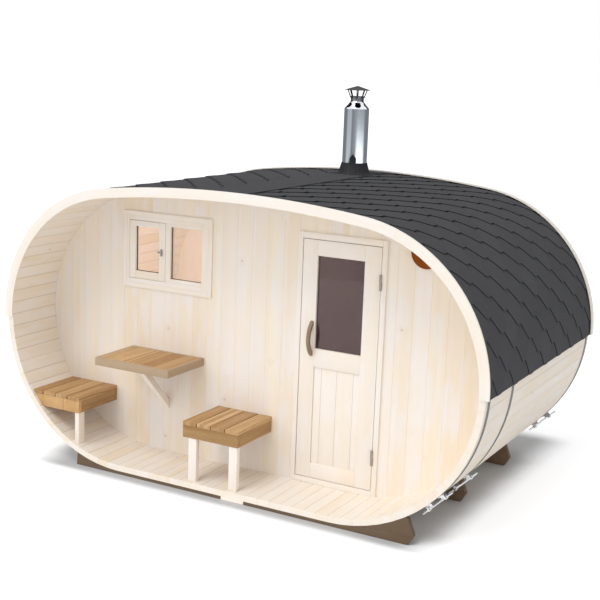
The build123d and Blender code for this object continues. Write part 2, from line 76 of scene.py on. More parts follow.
def operation(kind: str, swapped: bool = False) -> Callable[..., "Signal"]:
    """An operator of Signal that adds a Math node.

    Args:
        kind: the node's operation.
        swapped: whether the signal comes second.

    Returns:
        The operator; without another value it works with minus one.
    """
    def run(signal: "Signal", other: Any = -1.0) -> "Signal":
        """Add the node for a signal and another value."""
        values = (other, signal) if swapped else (signal, other)
        return signal.graph.math(kind, *values)

    return run


class Signal:
    """An output socket that is added, scaled and compared like a number."""

    __add__, __radd__ = operation("ADD"), operation("ADD", True)
    __sub__, __rsub__ = operation("SUBTRACT"), operation("SUBTRACT", True)
    __mul__, __rmul__ = operation("MULTIPLY"), operation("MULTIPLY", True)
    __truediv__ = operation("DIVIDE")
    __neg__ = operation("MULTIPLY")
    __lt__, __gt__ = operation("LESS_THAN"), operation("GREATER_THAN")

    def __init__(self, graph: "Graph", socket: Any) -> None:
        """Keep the graph and the socket."""
        self.graph = graph
        self.socket = socket


class Graph:
    """A node tree written as expressions."""

    def __init__(self, tree: bpy.types.NodeTree) -> None:
        """Keep the tree that the nodes go into."""
        self.tree = tree

    def feed(self, socket: Any, value: Any) -> None:
        """Link a signal to a socket, or set the socket's own value.

        Args:
            socket: the input socket.
            value: a Signal, or a number, tuple, text or datablock.
        """
        if isinstance(value, Signal):
            self.tree.links.new(value.socket, socket)
        elif value is not None:
            socket.default_value = value

    def add(self, kind: str, feeds: dict[Any, Any] | None = None, **settings: Any) -> Any:
        """Add a node.

        Args:
            kind: the node's type name.
            feeds: values or signals by input name or index.
            settings: the node's own properties.

        Returns:
            The new node.
        """
        node = self.tree.nodes.new(kind)
        for name, value in settings.items():
            setattr(node, name, value)
        for key, value in (feeds or {}).items():
            if isinstance(key, int):
                socket = node.inputs[key]
            else:
                socket = next(s for s in node.inputs if s.name == key and s.enabled)
            self.feed(socket, value)
        return node

    def out(self, node: Any, key: Any = 0) -> Signal:
        """A node's output as a signal, by index or by the name of a live socket."""
        if isinstance(key, int):
            return Signal(self, node.outputs[key])
        return Signal(self, next(s for s in node.outputs if s.name == key and s.enabled))

    def math(self, operation: str, *values: Any) -> Signal:
        """A Math node on up to three values."""
        return self.out(self.add("ShaderNodeMath", dict(enumerate(values)), operation=operation))

    def choose(self, test: Signal, yes: Any, no: Any) -> Signal:
        """yes where the test is one, no where it is zero."""
        return self.blend(test, no, yes)

    def blend(self, factor: Any, a: Any, b: Any, kind: str = "FLOAT") -> Signal:
        """A Mix node.

        Args:
            factor: how much of b.
            a: the first value, vector or colour.
            b: the second.
            kind: FLOAT, VECTOR or RGBA.

        Returns:
            The mixed signal.
        """
        if kind == "RGBA":
            a, b = (v if isinstance(v, Signal) else (*v, 1.0)[:4] for v in (a, b))
        node = self.add("ShaderNodeMix", {"Factor": factor, "A": a, "B": b}, data_type=kind)
        return self.out(node, "Result")

    def tint(self, colour: Any, over: Any, factor: Any) -> Signal:
        """A colour with another laid over it."""
        return self.blend(factor, colour, over, "RGBA")

    def vector(self, x: Any, y: Any, z: Any) -> Signal:
        """Three numbers as a vector."""
        return self.out(self.add("ShaderNodeCombineXYZ", {0: x, 1: y, 2: z}))

    def parts(self, vector: Signal) -> tuple[Signal, Signal, Signal]:
        """A vector's three numbers."""
        node = self.add("ShaderNodeSeparateXYZ", {0: vector})
        return self.out(node, 0), self.out(node, 1), self.out(node, 2)

    def step(self, value: Any, low: Any, high: Any) -> Signal:
        """A smooth step of the value, from zero at one level to one at another."""
        return self.out(self.add("ShaderNodeMapRange",
                                 {"Value": value, "From Min": low, "From Max": high},
                                 interpolation_type="SMOOTHSTEP"))

    def noise(self, place: Any, scale: Any, detail: float = 2.0, roughness: float = 0.5) -> Signal:
        """Noise between zero and one."""
        return self.out(self.add("ShaderNodeTexNoise", {"Vector": place, "Scale": scale,
                                                        "Detail": detail, "Roughness": roughness}))


class ShaderGroup(Graph):
    """A shared shader node group with named inputs and outputs."""

    made: ClassVar[dict[str, "ShaderGroup"]] = {}

    def __init__(self, name: str, inputs: dict[str, Any], outputs: Sequence[str]) -> None:
        """Make the group's tree and sockets.

        Args:
            name: the group's name.
            inputs: default values by name; a tuple makes a vector socket.
            outputs: the names of its float outputs.
        """
        super().__init__(bpy.data.node_groups.new(name, "ShaderNodeTree"))
        face = self.tree.interface
        for key, value in inputs.items():
            kind = "NodeSocketVector" if isinstance(value, tuple) else "NodeSocketFloat"
            face.new_socket(name=key, in_out="INPUT", socket_type=kind).default_value = value
        for key in outputs:
            face.new_socket(name=key, in_out="OUTPUT", socket_type="NodeSocketFloat")
        self.entry = self.add("NodeGroupInput")
        self.exit = self.add("NodeGroupOutput")

    def given(self, name: str) -> Signal:
        """One of the group's inputs, inside the group."""
        return self.out(self.entry, name)

    def give(self, name: str, value: Signal) -> None:
        """Send a signal to one of the group's outputs."""
        self.feed(self.exit.inputs[name], value)

    @classmethod
    def get(cls, name: str, build: Callable[[], "ShaderGroup"]) -> "ShaderGroup":
        """The group of that name, built the first time it is asked for."""
        if name not in cls.made:
            cls.made[name] = build()
        return cls.made[name]

    def place(self, graph: Graph, **values: Any) -> Callable[[str], Signal]:
        """Put the group in a material.

        Args:
            graph: the material's graph.
            values: its inputs, with underscores for spaces.

        Returns:
            A function that gives one of its outputs by name.
        """
        node = graph.add("ShaderNodeGroup", node_tree=self.tree)
        for key, value in values.items():
            graph.feed(node.inputs[key.replace("_", " ").title()], value)
        return lambda name: graph.out(node, name)


def grain_group() -> ShaderGroup:
    """Growth rings, fibre and knots of sawn timber, on a board's own coordinates.

    Returns:
        The node group.
    """
    g = ShaderGroup("Sawn Grain", {"Place": (0.0, 0.0, 0.0), "Board": 0.0, "Ring Spacing": 0.005,
                                   "Knot Radius": 0.008, "Knots Per Metre": 4.0},
                    ["Rings", "Fibre", "Knot", "Halo", "Tone", "Streak", "Cloud"])
    heart_spread, heart_waver, knot_bulge, knot_share = 0.16, 0.035, 0.012, 0.55
    heart_depth, heart_least, fine, broad = 0.06, 0.01, 420.0, 24.0
    across, along, through = g.parts(g.given("Place"))
    board, density, radius = (g.given(name) for name in ("Board", "Knots Per Metre", "Knot Radius"))
    random = g.add("ShaderNodeTexWhiteNoise", {"W": board}, noise_dimensions="1D")
    red, green, _ = g.parts(g.out(random, 1))
    shift = board * 57.3
    waver = g.noise(g.vector(across * 5.0, along * 1.1, shift), 1.0) - 0.5
    heart = across - (red - 0.5) * heart_spread + waver * heart_waver
    depth = through + green * heart_depth + heart_least
    cells = g.add("ShaderNodeTexVoronoi",
                  {"Vector": g.vector(across * density, along * density, shift), "Scale": 1.0},
                  feature="F1")
    distance = g.out(cells, "Distance") / density
    kept = g.parts(g.out(cells, "Color"))[0] > knot_share
    halo = g.step(distance, radius * 4.0, radius * 0.6) * kept
    reach = g.math("SQRT", heart * heart + depth * depth) + halo * knot_bulge
    ring = g.math("FRACT", reach / g.given("Ring Spacing"))
    for name, value in {
            "Rings": g.step(ring, 0.25, 0.95) * g.step(ring, 1.0, 0.96),
            "Fibre": g.noise(g.vector(across * fine, along * 9.0, through * fine + shift),
                             1.0, 3.0, 0.6),
            "Knot": g.step(distance, radius, radius * 0.45) * kept,
            "Halo": halo,
            "Tone": g.out(random, 0),
            "Streak": g.noise(g.vector(across * broad, along * 0.7, through * broad + shift),
                              1.0, 3.0),
            "Cloud": g.noise(g.vector(across * 11.0, along * 2.4, shift + 9.0), 1.0)}.items():
        g.give(name, value)
    return g


def mottle_group() -> ShaderGroup:
    """Broad soft patches and fine specks, for sheet, grit and painted faces.

    Returns:
        The node group.
    """
    g = ShaderGroup("Mottle", {"Place": (0.0, 0.0, 0.0), "Patch Scale": 3.0, "Speck Scale": 900.0},
                    ["Patches", "Specks"])
    g.give("Patches", g.noise(g.given("Place"), g.given("Patch Scale"), 3.0))
    g.give("Specks", g.noise(g.given("Place"), g.given("Speck Scale"), 1.0))
    return g


def plain_material(name: str) -> tuple[bpy.types.Material, Graph, Any]:
    """A new material, its graph and its shader."""
    material = bpy.data.materials.new(name)
    material.use_nodes = True
    shader = next(n for n in material.node_tree.nodes if n.type == "BSDF_PRINCIPLED")
    return material, Graph(material.node_tree), shader


@dataclass(frozen=True)
class Finish:
    """A finish with its name and how rough it is."""

    name: str
    colour: Colour
    roughness: float = 0.5
    made: ClassVar[dict[str, bpy.types.Material]] = {}

    def material(self) -> bpy.types.Material:
        """The finish's material, made the first time it is asked for.

        Returns:
            The material.
        """
        if self.name not in Finish.made:
            material, graph, shader = plain_material(self.name)
            self.paint(graph, shader)
            Finish.made[self.name] = material
        return Finish.made[self.name]

    def paint(self, graph: Graph, shader: Any) -> None:
        """Feed the shader; each kind of finish has its own way."""
        raise NotImplementedError

    @staticmethod
    def attribute(graph: Graph, name: str, output: str = "Fac") -> Signal:
        """A signal from one of the mesh's attributes."""
        return graph.out(graph.add("ShaderNodeAttribute", attribute_name=name), output)

    @staticmethod
    def bump(graph: Graph, shader: Any, height: Signal, depth: float, strength: float) -> None:
        """Feed the shader's normal from a height between zero and one."""
        node = graph.add("ShaderNodeBump",
                         {"Height": height, "Distance": depth, "Strength": strength})
        graph.feed(shader.inputs["Normal"], graph.out(node))

    @staticmethod
    def mottle(graph: Graph, patches: float, specks: float) -> Callable[[str], Signal]:
        """The shared patches and specks, on the object's own coordinates."""
        place = graph.out(graph.add("ShaderNodeTexCoord"), "Object")
        return ShaderGroup.get("Mottle", mottle_group).place(
            graph, place=place, patch_scale=patches, speck_scale=specks)


@dataclass(frozen=True)
class WoodFinish(Finish):
    """Sawn timber: board tones, rings, fibre and knots on each board's own coordinates."""

    second: Colour = (0.8, 0.7, 0.6)
    third: Colour = (0.8, 0.6, 0.4)
    cool: Colour = (0.9, 0.86, 0.84)
    cloud_strength: float = 0.0
    ring_colour: Colour = (0.6, 0.45, 0.28)
    knot_colour: Colour = (0.32, 0.17, 0.07)
    seam_colour: Colour = (0.35, 0.24, 0.15)
    ring_spacing: float = 0.005
    ring_strength: float = 0.22
    fibre_strength: float = 0.12
    streak_strength: float = 0.5
    knot_radius: float = 0.007
    knots_per_metre: float = 4.5
    knot_strength: float = 0.55
    seam_strength: float = 0.6
    seam_limit: float = 2.0
    outer_seam: float = 1.0
    outer_level: float = 0.04
    specular: float = 0.5

    def paint(self, graph: Graph, shader: Any) -> None:
        """Tone each board, then lay streaks, rings, fibre, knots and dark seams over it.

        Args:
            graph: the material's graph.
            shader: its shader node.
        """
        place = self.attribute(graph, "wood_co", "Vector")
        grain = ShaderGroup.get("Sawn Grain", grain_group).place(
            graph, place=place, board=self.attribute(graph, "board"),
            ring_spacing=self.ring_spacing, knot_radius=self.knot_radius,
            knots_per_metre=self.knots_per_metre)
        upright = graph.parts(graph.out(graph.add("ShaderNodeNewGeometry"), "Normal"))[1]
        seam = self.attribute(graph, "edge") * (graph.math("ABSOLUTE", upright) < self.seam_limit)
        if self.outer_seam < 1.0:
            outside = graph.parts(place)[2] > self.outer_level
            seam = seam * graph.choose(outside, self.outer_seam, 1.0)
        tone = grain("Tone")
        colour: Any = self.colour
        for factor, over in (
                (graph.step(tone, 0.25, 0.6), self.second),
                (graph.step(tone, 0.7, 0.95), self.third),
                (graph.step(grain("Streak"), 0.35, 0.75) * self.streak_strength, self.third),
                (graph.step(grain("Cloud"), 0.44, 0.62) * self.cloud_strength, self.cool),
                (grain("Rings") * self.ring_strength, self.ring_colour),
                (graph.step(grain("Fibre"), 0.45, 0.8) * self.fibre_strength, self.ring_colour),
                (grain("Halo") * (self.knot_strength * 0.35), self.ring_colour),
                (grain("Knot") * self.knot_strength, self.knot_colour),
                (seam * self.seam_strength, self.seam_colour)):
            colour = graph.tint(colour, over, factor)
        graph.feed(shader.inputs["Base Color"], colour)
        graph.feed(shader.inputs["Roughness"], grain("Fibre") * 0.2 + (self.roughness - 0.1))
        shader.inputs["Specular IOR Level"].default_value = self.specular
        self.bump(graph, shader, grain("Fibre") * 0.6 + grain("Rings") * 0.4, 0.0004, 0.5)


@dataclass(frozen=True)
class GritFinish(Finish):
    """Mineral granules bonded to bitumen, a little different from tab to tab."""

    second: Colour = (0.12, 0.12, 0.13)

    def paint(self, graph: Graph, shader: Any) -> None:
        """Granules over a tone that changes from tab to tab.

        Args:
            graph: the material's graph.
            shader: its shader node.
        """
        mottle = self.mottle(graph, 2.0, 420.0)
        lot = self.attribute(graph, "board")
        board = graph.out(graph.add("ShaderNodeTexWhiteNoise", {"W": lot}, noise_dimensions="1D"))
        colour = graph.tint(self.colour, self.second, board * 0.6 + mottle("Patches") * 0.4)
        specks = graph.step(mottle("Specks"), 0.4, 0.65)
        colour = graph.tint(colour, tuple(2.2 * c for c in self.colour), specks * 0.35)
        graph.feed(shader.inputs["Base Color"], colour)
        shader.inputs["Roughness"].default_value = self.roughness
        self.bump(graph, shader, mottle("Specks"), 0.0012, 0.8)


@dataclass(frozen=True)
class MetalFinish(Finish):
    """Bare or coated metal with faint patches and brush marks."""

    metallic: float = 1.0
    patch_strength: float = 0.25
    smear: float = 0.12

    def paint(self, graph: Graph, shader: Any) -> None:
        """Patches in the colour and the roughness.

        Args:
            graph: the material's graph.
            shader: its shader node.
        """
        mottle = self.mottle(graph, 9.0, 260.0)
        colour = graph.tint(self.colour, tuple(0.62 * c for c in self.colour),
                            graph.step(mottle("Patches"), 0.3, 0.75) * self.patch_strength)
        graph.feed(shader.inputs["Base Color"], colour)
        shader.inputs["Metallic"].default_value = self.metallic
        graph.feed(shader.inputs["Roughness"], mottle("Specks") * self.smear + self.roughness)
        self.bump(graph, shader, mottle("Patches"), 0.0006, 0.25)


@dataclass(frozen=True)
class GlassFinish(Finish):
    """Sheet glass that lets the light through, clear or tinted."""

    alpha: float = 0.12

    def paint(self, graph: Graph, shader: Any) -> None:
        """A thin film of colour with a faint change over the pane.

        Args:
            graph: the material's graph.
            shader: its shader node.
        """
        mottle = self.mottle(graph, 2.5, 60.0)
        deep = tuple(0.7 * c for c in self.colour)
        graph.feed(shader.inputs["Base Color"],
                   graph.tint(self.colour, deep, mottle("Patches") * 0.4))
        graph.feed(shader.inputs["Alpha"], mottle("Patches") * 0.04 + self.alpha)
        shader.inputs["Roughness"].default_value = self.roughness
        shader.inputs["IOR"].default_value = 1.5


PALE = WoodFinish("pale_spruce", (0.93, 0.85, 0.74), 0.55, second=(0.93, 0.87, 0.80),
                  third=(0.90, 0.77, 0.60), cool=(0.93, 0.88, 0.84), cloud_strength=0.6,
                  ring_colour=(0.78, 0.62, 0.43), ring_strength=0.14,
                  seam_colour=(0.46, 0.34, 0.24), seam_limit=0.6, outer_seam=0.25,
                  knots_per_metre=5.0, knot_radius=0.010)
WALL = WoodFinish("wall_spruce", (0.93, 0.84, 0.71), 0.55, second=(0.92, 0.85, 0.785),
                  third=(0.90, 0.77, 0.60), cloud_strength=0.7, ring_colour=(0.80, 0.66, 0.50),
                  ring_strength=0.14, ring_spacing=0.008, streak_strength=0.3,
                  seam_colour=(0.70, 0.58, 0.46), seam_strength=0.2,
                  knot_colour=(0.58, 0.42, 0.30), knot_radius=0.013, knots_per_metre=5.2)
TRIM = WoodFinish("trim_spruce", (0.93, 0.86, 0.77), 0.5, second=(0.93, 0.875, 0.81),
                  third=(0.92, 0.81, 0.68), cool=(0.93, 0.88, 0.86), cloud_strength=0.6,
                  ring_colour=(0.84, 0.71, 0.54), ring_strength=0.1, streak_strength=0.45,
                  knot_strength=0.35, seam_colour=(0.62, 0.50, 0.38), seam_strength=0.15)
HEATED = WoodFinish("heat_treated_wood", (0.70, 0.455, 0.215), 0.5, second=(0.82, 0.565, 0.30),
                    third=(0.42, 0.22, 0.08), ring_colour=(0.22, 0.10, 0.03), ring_strength=0.7,
                    fibre_strength=0.5, knot_colour=(0.15, 0.07, 0.03),
                    seam_colour=(0.10, 0.05, 0.02), ring_spacing=0.0075, streak_strength=0.85,
                    knot_radius=0.009, specular=0.3)
SEAT_FRONT = WoodFinish("heat_treated_pale", (0.84, 0.56, 0.27), 0.55, second=(0.88, 0.60, 0.31),
                        third=(0.62, 0.36, 0.15), ring_colour=(0.40, 0.21, 0.08),
                        ring_strength=0.55, fibre_strength=0.4, ring_spacing=0.009,
                        streak_strength=0.8, knots_per_metre=1.0, knot_strength=0.0,
                        specular=0.25)
# Painted shade: a darker copy of the heat-treated wood for the seat aprons' upright faces.
APRON_SHADE = replace(HEATED, name="heat_treated_shaded_side", colour=(0.51, 0.32, 0.14), roughness=0.55,
                second=(0.58, 0.375, 0.185), third=(0.33, 0.17, 0.06),
                ring_colour=(0.18, 0.08, 0.025), ring_strength=0.6, fibre_strength=0.45,
                streak_strength=0.7, specular=0.25)
# Painted shade: a darker copy of the heat-treated wood for the table's edge boards.
TABLE_EDGE_SHADE = WoodFinish("heat_treated_shaded_edge", (0.47, 0.34, 0.22), 0.55, second=(0.50, 0.37, 0.25),
                        third=(0.43, 0.30, 0.18), ring_colour=(0.34, 0.22, 0.13),
                        ring_strength=0.25, knot_colour=(0.12, 0.05, 0.02))
SADDLE = WoodFinish("brown_saddle_wood", (0.15, 0.095, 0.050), 0.6, second=(0.195, 0.125, 0.068),
                    third=(0.11, 0.064, 0.032), ring_colour=(0.06, 0.035, 0.02),
                    ring_strength=0.4, fibre_strength=0.3, knot_colour=(0.03, 0.015, 0.01))
HANDLE = WoodFinish("handle_wood", (0.30, 0.22, 0.13), 0.4, second=(0.33, 0.25, 0.15),
                    third=(0.26, 0.19, 0.11), ring_colour=(0.14, 0.09, 0.05), ring_strength=0.35,
                    knots_per_metre=1.0, knot_strength=0.0)
VENT = WoodFinish("vent_wood", (0.27, 0.066, 0.002), 0.6, second=(0.30, 0.076, 0.003),
                  third=(0.23, 0.050, 0.002), ring_colour=(0.15, 0.032, 0.001), ring_strength=0.3,
                  knots_per_metre=1.0, knot_strength=0.0, specular=0.12)
GRIT = GritFinish("dark_shingle", (0.036, 0.036, 0.040), 0.9, second=(0.052, 0.052, 0.057))
# Near black for the tabs' cut edges and undersides: bare bitumen, which also paints the shade lines
# under the tab butts.
BITUMEN_AND_SHADE = GritFinish("shingle_edge_bitumen_and_shade", (0.005, 0.005, 0.006), 0.7, second=(0.007, 0.007, 0.008))
BAND = MetalFinish("band_steel", (0.22, 0.22, 0.23), 0.38)
BOLT = MetalFinish("bolt_steel", (0.92, 0.93, 0.95), 0.10, patch_strength=0.1)
CHIMNEY = MetalFinish("chimney_steel", (0.88, 0.93, 0.98), 0.08, patch_strength=0.03, smear=0.03)
NECK = MetalFinish("neck_steel", (0.34, 0.35, 0.37), 0.25, patch_strength=0.2)
COWL = MetalFinish("cowl_steel", (0.035, 0.035, 0.037), 0.45, metallic=0.0, patch_strength=0.3)
# Near black for the flue's inside, the pipe's top under the cowl, the cowl's inner faces and the
# filling behind the vent holes: soot, and painted shade in these hidden places.
SOOT_AND_SHADE = MetalFinish("flue_soot_and_shade", (0.006, 0.006, 0.006), 0.8)
FLASHING = MetalFinish("flashing_sheet", (0.014, 0.014, 0.017), 0.65, metallic=0.0)
# Near black for the window seals: real glazing seals that also stand in as painted shade on the
# reveals.
SEAL_AND_SHADE = MetalFinish("window_seal_and_shade", (0.06, 0.045, 0.035), 0.6, metallic=0.0)
HINGE = MetalFinish("hinge_steel", (0.50, 0.45, 0.38), 0.35, patch_strength=0.2)
LATCH = MetalFinish("latch_steel", (0.42, 0.42, 0.43), 0.3)
CLEAR = GlassFinish("clear_glass", (0.80, 0.82, 0.80), 0.02, alpha=0.04)
BRONZE = GlassFinish("bronze_glass", (0.056, 0.026, 0.042), 0.02, alpha=0.70)


class Recipe(Graph):
    """A Geometry Nodes tree with named inputs that is run once into a plain mesh."""

    def __init__(self, name: str) -> None:
        """Start the tree and its output.

        Args:
            name: the tree's name.
        """
        super().__init__(bpy.data.node_groups.new(name, "GeometryNodeTree"))
        self.tree.interface.new_socket(name="Geometry", in_out="OUTPUT",
                                       socket_type="NodeSocketGeometry")
        self.entry = self.add("NodeGroupInput")
        self.exit = self.add("NodeGroupOutput")

    def want(self, name: str, kind: str = "Float") -> Signal:
        """A named input of the tree."""
        self.tree.interface.new_socket(name=name, in_out="INPUT", socket_type=f"NodeSocket{kind}")
        return self.out(self.entry, name)

    def wants(self, names: str, kind: str = "Float") -> list[Signal]:
        """Several inputs of one kind, from their names with commas between."""
        return [self.want(name, kind) for name in names.split(", ")]

    def store(self, geometry: Signal, name: str, value: Any, domain: str = "POINT",
              kind: str = "FLOAT") -> Signal:
        """Store a named attribute."""
        return self.out(self.add("GeometryNodeStoreNamedAttribute",
                                 {"Geometry": geometry, "Name": name, "Value": value},
                                 data_type=kind, domain=domain))

    def stored(self, name: str) -> Signal:
        """Read a named attribute."""
        return self.out(self.add("GeometryNodeInputNamedAttribute", {"Name": name},
                                 data_type="FLOAT"), "Attribute")

    def remember(self, geometry: Signal, name: str,
                 place: Signal) -> tuple[Signal, tuple[Signal, ...]]:
        """Store a place under a name before the points move.

        Args:
            geometry: the mesh.
            name: the attribute's name.
            place: the place, as a vector.

        Returns:
            The mesh, and the three numbers as they are read back.
        """
        geometry = self.store(geometry, name, place, kind="FLOAT_VECTOR")
        read = self.add("GeometryNodeInputNamedAttribute", {"Name": name}, data_type="FLOAT_VECTOR")
        return geometry, self.parts(self.out(read, "Attribute"))

    def position(self) -> tuple[Signal, Signal, Signal]:
        """The three numbers of each point's place."""
        return self.parts(self.out(self.add("GeometryNodeInputPosition")))

    def move(self, geometry: Signal, x: Any, y: Any, z: Any) -> Signal:
        """Put each point at a new place."""
        return self.out(self.add("GeometryNodeSetPosition",
                                 {"Geometry": geometry, "Position": self.vector(x, y, z)}))

    def cube(self, columns: Any, rows: Any, layers: Any) -> Signal:
        """A unit cube with that many points along X, Y and Z."""
        return self.out(self.add("GeometryNodeMeshCube",
                                 {"Size": (1.0, 1.0, 1.0), "Vertices X": columns,
                                  "Vertices Y": rows, "Vertices Z": layers}))

    def repeat(self, template: Signal, count: Signal, seed: Signal) -> Signal:
        """Copies of a template with their order and a random lot, made real.

        Args:
            template: the mesh to copy.
            count: how many.
            seed: picks the random lots.

        Returns:
            The copies as one mesh.
        """
        points = self.out(self.add("GeometryNodePoints", {"Count": count}))
        copies = self.out(self.add("GeometryNodeInstanceOnPoints",
                                   {"Points": points, "Instance": template}))
        index = self.out(self.add("GeometryNodeInputIndex"))
        lot = self.out(self.add("FunctionNodeRandomValue", {"ID": index, "Seed": seed}), "Value")
        copies = self.store(copies, "order", index, "INSTANCE")
        copies = self.store(copies, "board", lot, "INSTANCE")
        return self.out(self.add("GeometryNodeRealizeInstances", {"Geometry": copies}))

    def chamfered(self, columns: Signal, width: Signal, chamfer: Signal, low: Signal,
                  high: Signal) -> Signal:
        """A board's template: width along X, one unit along Y, height along Z, long edges eased.

        Args:
            columns: points across the width, four or more.
            width: the width in metres.
            chamfer: how far the edges are eased.
            low: the lower face's height.
            high: the upper face's height.

        Returns:
            The template with the attribute edge, which is one at its two sides.
        """
        x, y, z = self.position()
        last = columns - 1.0
        column = self.math("ROUND", (x + 0.5) * last)
        row = self.math("ROUND", (z + 0.5) * 3.0)
        side = self.math("MAXIMUM", column < 0.5, column > last - 0.5)
        face = self.math("MAXIMUM", row < 0.5, row > 2.5)
        half = width * 0.5
        pull = side * face * chamfer * 0.5
        inner = ((column - 1.0) / (last - 2.0) * 2.0 - 1.0) * (half - chamfer)
        across = self.choose(side, self.math("SIGN", x) * (half - pull), inner)
        height = self.choose(row < 1.5, self.choose(row < 0.5, low + pull, low + chamfer),
                             self.choose(row > 2.5, high - pull, high - chamfer))
        template = self.store(self.cube(columns, 2, 4), "edge", side)
        return self.move(template, across, y, height)

    def merged(self, geometry: Signal, distance: float, finish: Signal) -> Signal:
        """Merge doubles, make it real and set the finish."""
        merged = self.out(self.add("GeometryNodeMergeByDistance",
                                   {"Geometry": geometry, "Distance": distance}))
        real = self.out(self.add("GeometryNodeRealizeInstances", {"Geometry": merged}))
        return self.out(self.add("GeometryNodeSetMaterial", {"Geometry": real, "Material": finish}))

    def close(self, geometry: Signal) -> None:
        """End the tree."""
        self.feed(self.exit.inputs[0], geometry)

    def make(self, piece: str, **values: Any) -> bpy.types.Object:
        """Run the tree and keep its result as a plain mesh.

        Args:
            piece: the new object's name.
            values: inputs by name, with underscores for spaces; a Finish gives its material.

        Returns:
            The object.
        """
        holder = bpy.data.objects.new("holder", bpy.data.meshes.new("empty"))
        bpy.context.scene.collection.objects.link(holder)
        modifier = holder.modifiers.new("recipe", "NODES")
        modifier.node_group = self.tree
        sockets = {s.name: s.identifier for s in self.tree.interface.items_tree
                   if s.in_out == "INPUT"}
        for key, value in values.items():
            if isinstance(value, Finish):
                value = value.material()
            modifier[sockets[key.replace("_", " ").title()]] = value
        holder.update_tag()
        graph = bpy.context.evaluated_depsgraph_get()
        mesh = bpy.data.meshes.new_from_object(holder.evaluated_get(graph),
                                               preserve_all_data_layers=True, depsgraph=graph)
        holder.modifiers.remove(modifier)
        bpy.data.objects.remove(holder)
        for spare in ("order", "top"):
            if spare in mesh.attributes:
                mesh.attributes.remove(mesh.attributes[spare])
        return placed(piece, mesh)


def placed(name: str, mesh: bpy.types.Mesh) -> bpy.types.Object:
    """A new object for a mesh, linked to the scene."""
    mesh.name = name
    piece = bpy.data.objects.new(name, mesh)
    bpy.context.scene.collection.objects.link(piece)
    return piece


def joined(name: str, pieces: Sequence[bpy.types.Object]) -> bpy.types.Object:
    """Several objects made into one."""
    with bpy.context.temp_override(active_object=pieces[0], selected_editable_objects=list(pieces)):
        bpy.ops.object.join()
    pieces[0].name = pieces[0].data.name = name
    return pieces[0]


def soften(data: bpy.types.Mesh, angle: float = CREASE) -> None:
    """Shade a mesh smooth, but for edges sharper than an angle in degrees."""
    data.shade_smooth()
    data.set_sharp_from_angle(angle=math.radians(angle))


def worked(name: str, mesh: bmesh.types.BMesh, finish: "Finish | None" = None) -> bpy.types.Object:
    """An object from a bmesh, which is freed, with its finish if it has one.

    Args:
        name: the object's name.
        mesh: the bmesh.
        finish: its finish.

    Returns:
        The object.
    """
    data = bpy.data.meshes.new(name)
    mesh.to_mesh(data)
    mesh.free()
    if finish:
        data.materials.append(finish.material())
    return placed(name, data)


def settle(piece: bpy.types.Object, body: str, slot: str, *nodes: str) -> None:
    """Ride a finished piece on its body and hide the nodes that it stands for.

    Args:
        piece: the piece.
        body: the body that it moves with.
        slot: the name of its material slot; not used.
        nodes: the CAD nodes that it replaces.
    """
    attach(piece, body)
    if nodes:
        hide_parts(*nodes)
    log.info("%s: %d faces on %s", piece.name, len(piece.data.polygons), body)


